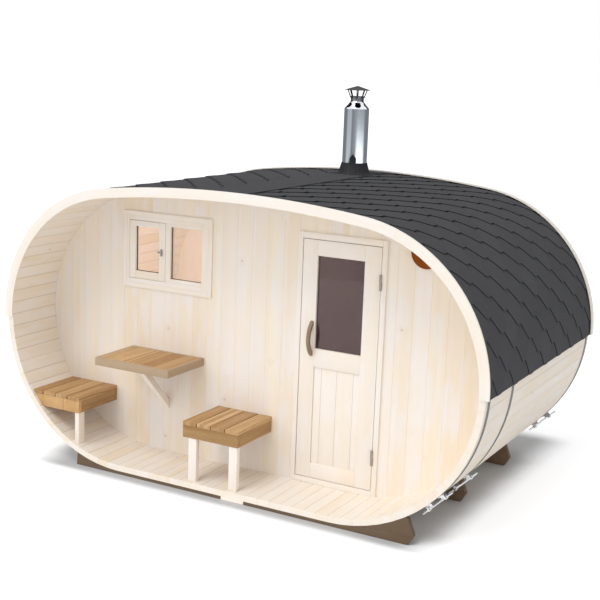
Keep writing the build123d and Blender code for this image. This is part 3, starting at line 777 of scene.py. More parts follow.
@dataclass(frozen=True)
class BarrelSection:
    """The oval that the inner faces of the staves follow, and how it unrolls."""

    flat_half: float
    lower_radius: float
    floor_level: float
    thickness: float
    shoulder_radius: float = 0.982
    crown_radius: float = 8.180

    @classmethod
    def from_frame(cls) -> "BarrelSection":
        """Take the sizes from the floor and the lower staves of the CAD."""
        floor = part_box("floor_staves")
        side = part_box("lower_right_staves")
        thickness = floor[1].z - floor[0].z
        return cls(floor[1].x, side[1].x - thickness - floor[1].x, floor[1].z, thickness)

    @property
    def axis_level(self) -> float:
        """Level of the centres of the lower and shoulder arcs."""
        return self.floor_level + self.lower_radius

    @property
    def half_width(self) -> float:
        """Half of the inner width."""
        return self.flat_half + self.lower_radius

    @property
    def shoulder_x(self) -> float:
        """Distance of the shoulder arcs' centres from the middle."""
        return self.half_width - self.shoulder_radius

    @property
    def shoulder_angle(self) -> float:
        """Angle of the shoulder arcs."""
        return math.acos(self.shoulder_x / (self.crown_radius - self.shoulder_radius))

    @property
    def crown_half(self) -> float:
        """Half the angle of the crown's arc."""
        return math.pi / 2 - self.shoulder_angle

    @property
    def crown_level(self) -> float:
        """Level of the crown arc's centre."""
        drop = (self.crown_radius - self.shoulder_radius) * math.sin(self.shoulder_angle)
        return self.axis_level - drop

    def lengths(self, offset: float = 0.0) -> tuple[float, float, float, float]:
        """Half crown, shoulder, lower arc and half floor, measured round the girth at an offset."""
        return ((self.crown_radius + offset) * self.crown_half,
                (self.shoulder_radius + offset) * self.shoulder_angle,
                (self.lower_radius + offset) * math.pi / 2, self.flat_half)

    def bend(self, r: Recipe, girth: Signal, height: Signal,
             reference: Any) -> tuple[Signal, Signal]:
        """Roll a place on the unrolled girth back into X and Z.

        Args:
            r: the recipe that the nodes go into.
            girth: distance from the crown's top, to the right as plus.
            height: distance outwards from the inner face.
            reference: the offset at which the girth is measured.

        Returns:
            X and Z.
        """
        away = r.math("ABSOLUTE", girth)
        crown = reference + self.crown_radius
        shoulder = reference + self.shoulder_radius
        lower = reference + self.lower_radius
        first = crown * self.crown_half
        second = first + shoulder * self.shoulder_angle
        third = second + lower * (math.pi / 2)

        def arc(radius: float, centre: Span, angle: Signal) -> tuple[Signal, Signal]:
            """A place on one of the arcs, by its angle above the level line."""
            reach = height + radius
            return (reach * r.math("COSINE", angle) + centre[0],
                    reach * r.math("SINE", angle) + centre[1])

        spots = [
            arc(self.crown_radius, (0.0, self.crown_level), math.pi / 2 - away / crown),
            arc(self.shoulder_radius, (self.shoulder_x, self.axis_level),
                self.shoulder_angle - (away - first) / shoulder),
            arc(self.lower_radius, (self.flat_half, self.axis_level), -((away - second) / lower)),
            (self.flat_half - (away - third), self.floor_level - height),
        ]
        x, z = spots[3]
        for edge, spot in ((third, spots[2]), (second, spots[1]), (first, spots[0])):
            inside = away < edge
            x = r.choose(inside, spot[0], x)
            z = r.choose(inside, spot[1], z)
        return x * r.math("SIGN", girth), z

    def inside(self, r: Recipe, x: Signal) -> tuple[Signal, Signal]:
        """The lowest and highest level inside the staves at a place across the barrel.

        Args:
            r: the recipe that the nodes go into.
            x: the place across.

        Returns:
            The two levels.
        """
        away = r.math("ABSOLUTE", x)

        def rise(radius: float, centre: float) -> Signal:
            """Height of an arc over its centre."""
            off = away - centre
            return r.math("SQRT", r.math("MAXIMUM", radius * radius - off * off, 0.0))

        crown_edge = self.crown_radius * math.sin(self.crown_half)
        top = r.choose(away < crown_edge, rise(self.crown_radius, 0.0) + self.crown_level,
                       rise(self.shoulder_radius, self.shoulder_x) + self.axis_level)
        bottom = r.choose(away < self.flat_half, self.floor_level,
                          self.axis_level - rise(self.lower_radius, self.flat_half))
        return bottom, top


def bent_boards(section: BarrelSection) -> Recipe:
    """Boards side by side round the girth, such as staves, trim segments and bands.

    Args:
        section: the oval that they follow.

    Returns:
        The recipe.
    """
    r = Recipe("Bent Boards")
    count, columns, seed = r.wants("Count, Columns, Seed", "Int")
    start, pitch, gap, chamfer, low, high = r.wants("First Edge, Pitch, Gap, Chamfer, Low, High")
    front, back, reference, girthwise = r.wants("Front, Back, Reference, Grain Round Girth")
    finish = r.want("Finish", "Material")
    boards = r.repeat(r.chamfered(columns, pitch - gap, chamfer, low, high), count, seed)
    across, along, height = r.position()
    girth = start + (r.stored("order") + 0.5) * pitch + across
    y = r.blend(along + 0.5, front, back)
    sawn = r.blend(girthwise, r.vector(across, y, height), r.vector(height, girth, y), "VECTOR")
    boards = r.store(boards, "wood_co", sawn, kind="FLOAT_VECTOR")
    boards, (girth, y, height) = r.remember(boards, "spot", r.vector(girth, y, height))
    x, z = section.bend(r, girth, height, reference)
    r.close(r.merged(r.move(boards, x, y, z), 2e-5, finish))
    return r


def wall_boards(section: BarrelSection) -> Recipe:
    """Upright boards cut to the oval and to the sides of an opening.

    Args:
        section: the oval that they follow.

    Returns:
        The recipe.
    """
    r = Recipe("Wall Boards")
    count, columns, seed = r.wants("Count, Columns, Seed", "Int")
    start, pitch, gap, chamfer = r.wants("First Edge, Pitch, Gap, Chamfer")
    front, back = r.wants("Front, Back")
    left, right, bottom, top, reach, first = r.wants("Left, Right, Bottom, Top, Reach, First Board")
    finish = r.want("Finish", "Material")
    boards = r.repeat(r.chamfered(columns, pitch - gap, chamfer, front, back), count, seed)
    across, along, depth = r.position()
    order = r.stored("order")
    x = start + (order + 0.5) * pitch + across
    x = r.math("MINIMUM", r.math("MAXIMUM", x, left), right)
    low, high = section.inside(r, x)
    low = r.math("MAXIMUM", low - reach, bottom)
    high = r.math("MINIMUM", high + reach, top)
    spot = r.vector(x, depth, r.blend(0.5 - along, low, high))
    boards, (x, y, z) = r.remember(boards, "spot", spot)
    boards = r.store(boards, "board", r.math("FRACT", (order + first) * GOLDEN))
    boards = r.store(boards, "wood_co", r.vector(across, z, depth), kind="FLOAT_VECTOR")
    r.close(r.merged(r.move(boards, x, y, z), 1e-4, finish))
    return r


def shingle_courses(section: BarrelSection) -> Recipe:
    """Courses of six-sided tabs down one slope of the roof, each lapping the next.

    Args:
        section: the oval that they follow.

    Returns:
        The recipe.
    """
    r = Recipe("Shingle Courses")
    rows, columns, butt_row = 8, 4, 3
    lap, shoulder, lift = 0.53, 0.25, 1.05
    courses, tabs, seed = r.wants("Courses, Tabs, Seed", "Int")
    eave, exposure, pitch, butt, step, high = r.wants(
        "Eave, Exposure, Tab Pitch, Butt Width, Step, High")
    first, side, end, reference = r.wants("First Tab, Side, Half Length, Reference")
    finish, edge_finish = r.wants("Finish, Edge Finish", "Material")
    x, y, z = r.position()
    column = r.math("ROUND", (y + 0.5) * (columns - 1.0))
    row = r.math("ROUND", (x + 0.5) * (rows - 1.0))
    hidden = row < butt_row - 0.5
    down = r.choose(hidden, row * lap - 2 * lap, (row - butt_row) * shoulder)
    inner = (column > 0.5) * (column < columns - 1.5)
    tab_half = r.blend(r.math("MAXIMUM", down, 0.0), (pitch - butt) * 0.5, butt * 0.5)
    half = r.choose(inner, tab_half, r.choose(hidden, pitch * 0.5, tab_half))
    tile = r.cube(rows, columns, 2)
    top = r.parts(r.out(r.add("GeometryNodeInputNormal")))[2] > 0.5
    tile = r.store(tile, "top", top, "FACE")
    tile = r.move(tile, down, r.math("SIGN", y) * half, z - 0.5)
    tiles = r.repeat(tile, courses * tabs, seed)
    down, off, deep = r.position()
    order = r.stored("order")
    row_number = r.math("FLOOR", (order + 0.5) / tabs)
    number = order - row_number * tabs
    course = row_number - 1.0
    odd = r.math("FLOORED_MODULO", course, 2.0)
    down = r.math("MINIMUM", down, course > -0.5)
    girth = (eave - exposure * (course + 1.0 - down)) * side
    place = first + (number - odd * 0.5) * pitch + off * side
    place = r.math("MINIMUM", r.math("MAXIMUM", place, end * -1.0), end)
    height = high + (down - 1.0 + deep * lift) * step
    tiles, (girth, place, height) = r.remember(tiles, "spot", r.vector(girth, place, height))
    x, z = section.bend(r, girth, height, reference)
    # Every face but the tabs' tops takes the near-black edge finish: bare bitumen, and painted
    # shade along the butts.
    dark = r.merged(r.move(tiles, x, place, z), 1e-4, edge_finish)
    up = r.stored("top") > 0.5
    r.close(r.out(r.add("GeometryNodeSetMaterial",
                        {"Geometry": dark, "Selection": up, "Material": finish})))
    return r


def threaded_rod() -> Recipe:
    """A rod along Z with ridges round it, from one ring of points to the next.

    Returns:
        The recipe.
    """
    r = Recipe("Threaded Rod")
    length, pitch, radius, depth = r.wants("Length, Pitch, Radius, Depth")
    finish = r.want("Finish", "Material")
    rings = r.math("ROUND", length / pitch * 2.0)
    rod = r.out(r.add("GeometryNodeMeshCylinder", {"Vertices": 14, "Side Segments": rings,
                                                   "Radius": 1.0, "Depth": 1.0}), "Mesh")
    x, y, z = r.position()
    ring = r.math("ROUND", (z + 0.5) * rings)
    crest = r.math("FLOORED_MODULO", ring, 2.0)
    reach = radius - depth * crest
    r.close(r.merged(r.move(rod, x * reach, y * reach, z * length), 2e-5, finish))
    return r


@dataclass(frozen=True)
class Board:
    """One sawn board between two corners."""

    low: Point
    high: Point
    grain: Grain = Grain.UPRIGHT
    chamfer: float = 0.002
    finish: int = 0


def boards_round(outer: Sides, inner: Sides, front: float, back: float,
                 chamfer: float = 0.002) -> list[Board]:
    """Four boards round an opening, with the uprights at full height.

    Args:
        outer: the outside at the left, right, bottom and top.
        inner: the opening in the same order.
        front: the front faces' place along Y.
        back: the back faces' place along Y.
        chamfer: how far the edges are eased.

    Returns:
        The left and the right upright, the head and the sill.
    """
    left, right, bottom, top = outer
    near, far, low, high = inner
    return [Board((left, front, bottom), (near, back, top), chamfer=chamfer),
            Board((far, front, bottom), (right, back, top), chamfer=chamfer),
            Board((near, front, high), (far, back, top), Grain.ACROSS, chamfer),
            Board((near, front, bottom), (far, back, low), Grain.ACROSS, chamfer)]


def lay_grain(data: bpy.types.Mesh, places: Sequence[float], lots: Sequence[float],
              angle: float = CREASE) -> None:
    """Store what the wood finishes read, and smooth the mesh.

    Args:
        data: the mesh.
        places: each point's place across, along and through its board.
        lots: each point's lot among the boards' tones.
        angle: edges sharper than this stay sharp, in degrees.
    """
    data.attributes.new("wood_co", "FLOAT_VECTOR", "POINT").data.foreach_set("vector", places)
    data.attributes.new("board", "FLOAT", "POINT").data.foreach_set("value", lots)
    data.attributes.new("edge", "FLOAT", "POINT")
    soften(data, angle)


def sawn_boards(name: str, boards: Sequence[Board], finishes: Sequence[Finish],
                seed: float = 0.0) -> bpy.types.Object:
    """Chamfered boards in one mesh, each with its own grain.

    Args:
        name: the piece's name.
        boards: the boards.
        finishes: the finishes that the boards name by number.
        seed: shifts the boards' random lots.

    Returns:
        The object.
    """
    verts: list[Vector] = []
    faces: list[list[int]] = []
    slots: list[int] = []
    grain: list[float] = []
    lots: list[float] = []
    for number, board in enumerate(boards):
        low, high = Vector(board.low), Vector(board.high)
        middle = (low + high) / 2
        mesh = bmesh.new()
        bmesh.ops.create_cube(mesh, size=1.0, matrix=Matrix.Diagonal((*(high - low), 1.0)))
        bmesh.ops.bevel(mesh, geom=mesh.edges[:], offset=board.chamfer, segments=2, profile=0.5,
                        affect="EDGES", clamp_overlap=True)
        start = len(verts)
        lot = math.modf((number + 1) * GOLDEN + seed)[0]
        for vert in mesh.verts:
            verts.append(vert.co + middle)
            across, along, through = board.grain.value
            grain += [vert.co[across], (vert.co + middle)[along], vert.co[through]]
            lots.append(lot)
        for face in mesh.faces:
            faces.append([start + v.index for v in face.verts])
            slots.append(board.finish)
        mesh.free()
    data = bpy.data.meshes.new(name)
    data.from_pydata(verts, [], faces)
    for finish in finishes:
        data.materials.append(finish.material())
    data.polygons.foreach_set("material_index", slots)
    lay_grain(data, grain, lots)
    return placed(name, data)


def islands(mesh: bpy.types.Mesh) -> list[list[int]]:
    """Sort a mesh's points into its separate shells.

    Args:
        mesh: the mesh.

    Returns:
        The point numbers of each shell, in the order they are met.
    """
    near: list[list[int]] = [[] for _ in mesh.vertices]
    for edge in mesh.edges:
        first, second = edge.vertices
        near[first].append(second)
        near[second].append(first)
    seen = [False] * len(near)
    found = []
    for start in range(len(near)):
        if seen[start]:
            continue
        seen[start] = True
        group = [start]
        for point in group:
            for other in near[point]:
                if not seen[other]:
                    seen[other] = True
                    group.append(other)
        found.append(group)
    return found


def longest_way(_: Vector, size: Vector) -> Grain:
    """The grain of a board runs along its longest side."""
    return (Grain.ACROSS, Grain.ALONG, Grain.UPRIGHT)[max(range(3), key=lambda n: size[n])]


def always(grain: Grain) -> Callable[[Vector, Vector], Grain]:
    """The same grain for every shell."""
    return lambda middle, size: grain


def carried(node: str, name: str, finish: Finish, bevel: float = 0.0, lot: float = 0.3,
            angle: float = 32.0,
            grain: Callable[[Vector, Vector], Grain] = longest_way) -> bpy.types.Object:
    """A merged and smoothed copy of a CAD node, with its edges eased and its grain laid.

    Args:
        node: the CAD node.
        name: the new piece's name.
        finish: its finish.
        bevel: how far its edges are eased.
        lot: its place among the boards' tones.
        angle: edges sharper than this stay sharp, in degrees.
        grain: gives the grain of each shell from its middle and its size.

    Returns:
        The object.
    """
    mesh = bmesh.new()
    mesh.from_mesh(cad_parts[node].data)
    bmesh.ops.remove_doubles(mesh, verts=mesh.verts[:], dist=DOUBLES)
    bmesh.ops.dissolve_limit(mesh, angle_limit=math.radians(FLAT), verts=mesh.verts[:],
                             edges=mesh.edges[:])
    piece = worked(name, mesh)
    data = piece.data
    if bevel:
        modifier = piece.modifiers.new("ease", "BEVEL")
        modifier.width, modifier.segments = bevel, 2
        modifier.limit_method, modifier.angle_limit = "ANGLE", math.radians(CREASE)
        graph = bpy.context.evaluated_depsgraph_get()
        eased = bpy.data.meshes.new_from_object(piece.evaluated_get(graph), depsgraph=graph)
        piece.modifiers.clear()
        piece.data = eased
        bpy.data.meshes.remove(data)
        data = eased
        data.name = name
    data.materials.clear()
    data.materials.append(finish.material())
    laid = [0.0] * (3 * len(data.vertices))
    lots = [0.0] * len(data.vertices)
    for number, shell in enumerate(islands(data)):
        places = [data.vertices[point].co for point in shell]
        low, high = (Vector([side(place[n] for place in places) for n in range(3)])
                     for side in (min, max))
        middle = (low + high) / 2
        across, along, through = grain(middle, high - low).value
        for point, place in zip(shell, places):
            off = place - middle
            laid[3 * point:3 * point + 3] = off[across], place[along], off[through]
            lots[point] = math.modf(number * GOLDEN + lot)[0]
    lay_grain(data, laid, lots, angle)
    return piece


def dress(node: str, name: str, finish: Finish, body: str, slot: str, **look: Any) -> None:
    """Carry a CAD node over and settle it as a piece of its own."""
    settle(carried(node, name, finish, **look), body, slot, node)


def glaze(node: str, finish: Finish) -> None:
    """Give panes of the CAD their finish and leave their shape."""
    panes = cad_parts[node].data
    panes.materials.clear()
    panes.materials.append(finish.material())


@dataclass
class Barrel:
    """The stave shell, its end walls and what bands and carries it."""

    section: BarrelSection
    stave_gap: float = 0.0005
    stave_chamfer: float = 0.0018
    floor_count: int = 19
    lower_count: int = 17
    shoulder_count: int = 15
    crown_count: int = 22
    wall_pitch: float = 0.128
    wall_seam: float = -0.956
    wall_reach: float = 0.008
    wall_gap: float = 0.0003
    wall_chamfer: float = 0.0007
    wall_columns: int = 10
    wall_lot: float = 40.0
    strip_gap: float = 0.0003
    strip_thickness: float = 0.0017
    strip_break: float = 0.0008
    strip_chamfer: float = 0.0003
    strip_columns: int = 220
    lug_angles: Span = (-49.5, -41.5)
    rod_out: float = 0.029
    rod_overhang: float = 0.060
    rod_radius: float = 0.007
    thread_pitch: float = 0.0035
    thread_depth: float = 0.0009
    nut_radius: float = 0.0125
    nut_depth: float = 0.009
    nut_places: Span = (0.0085, -0.0085)
    bracket: tuple[tuple[float, ...], ...] = (
        (0.038, 0.040, 0.007, -0.008, 0.0), (0.038, 0.006, 0.050, -0.0245, 0.018),
        (0.005, 0.026, 0.034, -0.012, 0.019))

    def build(self) -> None:
        """Build and dress every piece of the barrel."""
        self.staves()
        self.walls()
        self.bands()
        self.cradles()

    def staves(self) -> None:
        """Staves round the whole girth, one piece for each CAD node."""
        recipe = bent_boards(self.section)
        low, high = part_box("floor_staves")
        crown, shoulder, lower, flat = self.section.lengths()
        runs = [
            ("roof_staves", -crown, 2 * crown, self.crown_count),
            ("upper_right_staves", crown, shoulder, self.shoulder_count),
            ("upper_left_staves", -crown - shoulder, shoulder, self.shoulder_count),
            ("lower_right_staves", crown + shoulder, lower, self.lower_count),
            ("lower_left_staves", -crown - shoulder - lower, lower, self.lower_count),
            ("floor_staves", crown + shoulder + lower, 2 * flat, self.floor_count),
        ]
        for seed, (node, start, length, count) in enumerate(runs):
            piece = recipe.make(
                f"{node}_boards", count=count, columns=4, seed=seed + 4, first_edge=start,
                pitch=length / count, gap=self.stave_gap, chamfer=self.stave_chamfer, low=0.0,
                high=self.section.thickness, front=low.y, back=high.y, reference=0.0,
                grain_round_girth=0.0, finish=PALE)
            settle(piece, BARREL, "pale_spruce", node)

    def walls(self) -> None:
        """Upright boards of both end walls on one lattice of seams."""
        recipe = wall_boards(self.section)
        half, slack = self.section.half_width, 1e-3
        for node in ("front_wall_left", "front_wall_under_window", "front_wall_over_window",
                     "front_wall_middle", "front_wall_over_door", "front_wall_right", "rear_wall"):
            low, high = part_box(node)
            first = math.floor((low.x - self.wall_seam) / self.wall_pitch + slack)
            last = math.ceil((high.x - self.wall_seam) / self.wall_pitch - slack)
            piece = recipe.make(
                f"{node}_boards", count=last - first, columns=self.wall_columns, seed=1,
                first_edge=self.wall_seam + first * self.wall_pitch, pitch=self.wall_pitch,
                gap=self.wall_gap, chamfer=self.wall_chamfer, front=low.y, back=high.y,
                left=max(low.x, -half), right=min(high.x, half),
                bottom=low.z - (0 if low.z > 0.5 else 1), top=high.z + (0 if high.z < 1.5 else 1),
                reach=self.wall_reach, first_board=first + self.wall_lot, finish=WALL)
            settle(piece, BARREL, "wall_spruce", node)

    def bands(self) -> None:
        """Steel strips round the staves, each drawn tight by its own threaded rod."""
        strip = bent_boards(self.section)
        rod = threaded_rod()
        inner = self.section.thickness + self.strip_gap
        outer = inner + self.strip_thickness
        length = 2 * sum(self.section.lengths(inner))
        for number, node in enumerate(("front_band", "middle_band", "rear_band")):
            low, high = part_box(node)
            loop = strip.make(
                f"{node}_strip", count=1, columns=self.strip_columns, seed=number,
                first_edge=-length / 2, pitch=length, gap=self.strip_break,
                chamfer=self.strip_chamfer, low=inner, high=outer, front=low.y, back=high.y,
                reference=inner, grain_round_girth=1.0, finish=BAND)
            tight = self.tensioner(node, rod, (low.y + high.y) / 2, outer)
            settle(joined(f"{node}_steel", [loop, *tight]), BARREL, "band_steel", node)

    def tensioner(self, node: str, rod: Recipe, y: float, surface: float) -> list[bpy.types.Object]:
        """Two brackets on the lower right curve, a threaded rod between them and its nuts.

        Args:
            node: the band's node, for the pieces' names.
            rod: the recipe of the threaded rod.
            y: the band's middle.
            surface: the outside of the strip, from the inner face of the staves.

        Returns:
            The pieces.
        """
        radius = self.section.lower_radius + surface

        def at(out: float, degrees: float) -> Vector:
            """A place on the lower right curve."""
            angle = math.radians(degrees)
            return Vector((self.section.flat_half + (radius + out) * math.cos(angle), y,
                           self.section.axis_level + (radius + out) * math.sin(angle)))

        first, last = (at(self.rod_out, angle) for angle in self.lug_angles)
        along = (last - first).normalized()
        side = Vector((0.0, 1.0, 0.0))
        up = along.cross(side) * -1.0
        if up.dot(first - at(0.0, self.lug_angles[0])) < 0:
            up = -up
        turn = Matrix((side, up, along)).transposed().to_4x4()
        mesh = bmesh.new()
        for lug, way in ((first, -1.0), (last, 1.0)):
            for wide, tall, deep, rise, back in self.bracket:
                bmesh.ops.create_cube(mesh, size=1.0, matrix=Matrix.Translation(lug) @ turn
                                      @ Matrix.Translation((0.0, rise, -back * way))
                                      @ Matrix.Diagonal((wide, tall, deep, 1.0)))
            for place in self.nut_places:
                bmesh.ops.create_cone(mesh, cap_ends=True, segments=6, radius1=self.nut_radius,
                                      radius2=self.nut_radius, depth=self.nut_depth,
                                      matrix=Matrix.Translation(lug) @ turn
                                      @ Matrix.Translation((0.0, 0.0, way * place)))
        mesh.normal_update()
        total = (last - first).length + 2 * self.rod_overhang
        thread = rod.make(f"{node}_rod", length=total, pitch=self.thread_pitch,
                          radius=self.rod_radius, depth=self.thread_depth, finish=BOLT)
        thread.data.transform(Matrix.Translation((first + last) / 2) @ turn)
        return [worked(f"{node}_brackets", mesh, BOLT), thread]

    def cradles(self) -> None:
        """Saddle feet and the pale blocks between their halves."""
        for number, node in enumerate(("front_cradle", "middle_cradle", "rear_cradle")):
            dress(node, f"{node}_halves", SADDLE, BARREL, "brown_saddle_wood", bevel=0.003,
                  lot=0.21 + 0.3 * number)
        dress("cradle_blocks", "cradle_filler_blocks", PALE, BARREL, "pale_spruce", bevel=0.002)


@dataclass
class Roof:
    """Shingle courses, the ridge strip and the two arch trims."""

    section: BarrelSection
    exposure: float = 0.1247
    tab_pitch: float = 0.320
    butt_width: float = 0.069
    step: float = 0.005
    top_level: float = 0.0675
    tab_middle: float = -0.6505
    ridge_half: float = 0.165
    ridge_columns: int = 14
    ridge_chamfer: float = 0.0005
    segment: float = 1.25
    trim_columns: int = 26
    trim_gap: float = 0.0004
    trim_chamfer: float = 0.0012
    lip_gap: float = 0.0005

    def build(self) -> None:
        """Build and dress the roof."""
        self.cover()
        self.trims()

    @property
    def outside(self) -> float:
        """How far the cover's outer face is from the inner face of the staves."""
        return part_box("shingles_right")[1].x - self.section.half_width

    def edge(self, level: float, offset: float) -> float:
        """Measure from the crown's top to a level below the axis.

        Args:
            level: the level.
            offset: the distance from the inner face at which the girth is measured.

        Returns:
            The distance round the girth.
        """
        crown, shoulder, _, _ = self.section.lengths(offset)
        radius = self.section.lower_radius + offset
        return crown + shoulder + radius * math.asin((self.section.axis_level - level) / radius)

    def cover(self) -> None:
        """Six-sided tabs on both slopes under a plain ridge strip."""
        low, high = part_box("shingles_ridge")
        recipe = shingle_courses(self.section)
        reach, outside, pitch = high.y, self.outside, self.tab_pitch
        eave = self.edge(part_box("shingles_right")[0].z, outside)
        courses = math.ceil((eave - self.ridge_half) / self.exposure) + 1
        tabs = math.ceil(2 * reach / pitch) + 2
        first = self.tab_middle - math.ceil((self.tab_middle + reach) / pitch) * pitch
        slopes = [
            recipe.make(f"slope_{name}", courses=courses, tabs=tabs, seed=seed, eave=eave,
                        exposure=self.exposure, tab_pitch=pitch, butt_width=self.butt_width,
                        step=self.step, high=self.top_level, first_tab=first, side=side,
                        half_length=reach, reference=outside, finish=GRIT, edge_finish=BITUMEN_AND_SHADE)
            for name, side, seed in (("right", 1.0, 3), ("left", -1.0, 8))
        ]
        strip = bent_boards(self.section).make(
            "ridge_strip", count=1, columns=self.ridge_columns, seed=2,
            first_edge=-self.ridge_half, pitch=2 * self.ridge_half, gap=0.0,
            chamfer=self.ridge_chamfer, low=self.top_level - self.step, high=outside,
            front=low.y, back=high.y, reference=outside, grain_round_girth=0.0, finish=GRIT)
        cover = joined("roof_shingles", [*slopes, strip])
        settle(cover, BARREL, "dark_shingle", "shingles_left", "shingles_ridge", "shingles_right")

    def trims(self) -> None:
        """Arch trims in segments, the rear one with a lip over the cover's edge."""
        recipe = bent_boards(self.section)
        for node, lip in (("front_arch_trim", False), ("rear_arch_trim", True)):
            low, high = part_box(node)
            proud = high.x - self.section.half_width
            plate_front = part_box("roof_staves")[1].y if lip else low.y
            length = 2 * self.edge(low.z, proud)
            count = round(length / self.segment)
            sizes = {"count": count, "columns": self.trim_columns, "seed": 5,
                     "first_edge": -length / 2, "pitch": length / count, "gap": self.trim_gap,
                     "chamfer": self.trim_chamfer, "high": proud, "reference": proud,
                     "grain_round_girth": 1.0, "finish": TRIM}
            parts = [recipe.make(f"{node}_plate", low=0.0, front=plate_front, back=high.y, **sizes)]
            if lip:
                parts.append(recipe.make(f"{node}_lip", low=self.outside + self.lip_gap,
                                         front=low.y, back=plate_front, **sizes))
            settle(joined(f"{node}_segments", parts), BARREL, "trim_spruce", node)


@dataclass
class Doorway:
    """Door frame, leaf, glass, panel, pull bars and hinges."""

    jamb: float = 0.038
    sill: float = 0.043
    head: float = 0.045
    stop: float = 0.014
    stop_depth: float = 0.010
    stop_chamfer: float = 0.001
    lap: float = 0.0075
    panel_seams: tuple[float, ...] = (0.060, 0.183, 0.314)
    panel_gap: float = 0.0004
    panel_tuck: float = 0.004
    panel_chamfer: float = 0.0035
    hinge_bevel: float = 0.0006

    def build(self) -> None:
        """Build and dress the doorway."""
        self.frame()
        self.leaf()
        self.furniture()

    def frame(self) -> None:
        """Jambs between a head and a sill, with the stops that the leaf closes on."""
        low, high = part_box("door_frame")
        left, right = low.x + self.jamb, high.x - self.jamb
        bottom, top = low.z + self.sill, high.z - self.head
        boards = boards_round((low.x, high.x, low.z, high.z), (left, right, bottom, top),
                              low.y, high.y)
        front, stop = high.y - self.stop_depth, self.stop
        boards += [
            Board((near, front, floor), (far, high.y, ceiling), grain, self.stop_chamfer)
            for near, far, floor, ceiling, grain in (
                (left, left + stop, bottom, top, Grain.UPRIGHT),
                (right - stop, right, bottom, top, Grain.UPRIGHT),
                (left, right, top - stop, top, Grain.ACROSS),
                (left, right, bottom, bottom + stop, Grain.ACROSS))
        ]
        settle(sawn_boards("door_frame_boards", boards, [TRIM], 0.1), BARREL, "trim_spruce",
               "door_frame")

    def leaf(self) -> None:
        """Stiles and rails round the glass, and the boarded panel."""
        low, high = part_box("door_frame_leaf")
        glass_low, glass_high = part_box("door_glass")
        panel_low, panel_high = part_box("door_panel")
        left, right = glass_low.x + self.lap, glass_high.x - self.lap
        glass_bottom, glass_top = glass_low.z + self.lap, glass_high.z - self.lap
        panel_bottom, panel_top = panel_low.z + self.lap, panel_high.z - self.lap
        boards = boards_round((low.x, high.x, low.z, high.z),
                              (left, right, panel_bottom, glass_top), low.y, high.y)
        boards.insert(3, Board((left, low.y, panel_top), (right, high.y, glass_bottom),
                               Grain.ACROSS))
        settle(sawn_boards("door_leaf_boards", boards, [TRIM], 0.35), DOOR, "trim_spruce",
               "door_frame_leaf")
        edges = [left, *(left + seam for seam in self.panel_seams), right]
        boards = [
            Board((a + self.panel_gap, panel_low.y, panel_bottom - self.panel_tuck),
                  (b - self.panel_gap, panel_high.y, panel_top + self.panel_tuck),
                  chamfer=self.panel_chamfer)
            for a, b in zip(edges, edges[1:])
        ]
        settle(sawn_boards("door_panel_boards", boards, [TRIM], 0.7), DOOR, "wall_spruce",
               "door_panel")
        glaze("door_glass", BRONZE)

    def furniture(self) -> None:
        """Bowed pull bars and lift-off hinges."""
        dress("door_handles", "door_pull_bars", HANDLE, DOOR, "handle_wood", bevel=0.004)
        dress("door_hinges", "door_hinge_leaves", HINGE, DOOR, "hinge_steel",
              bevel=self.hinge_bevel)
        dress("hinge_frame_halves", "frame_hinge_leaves", HINGE, BARREL, "hinge_steel",
              bevel=self.hinge_bevel)


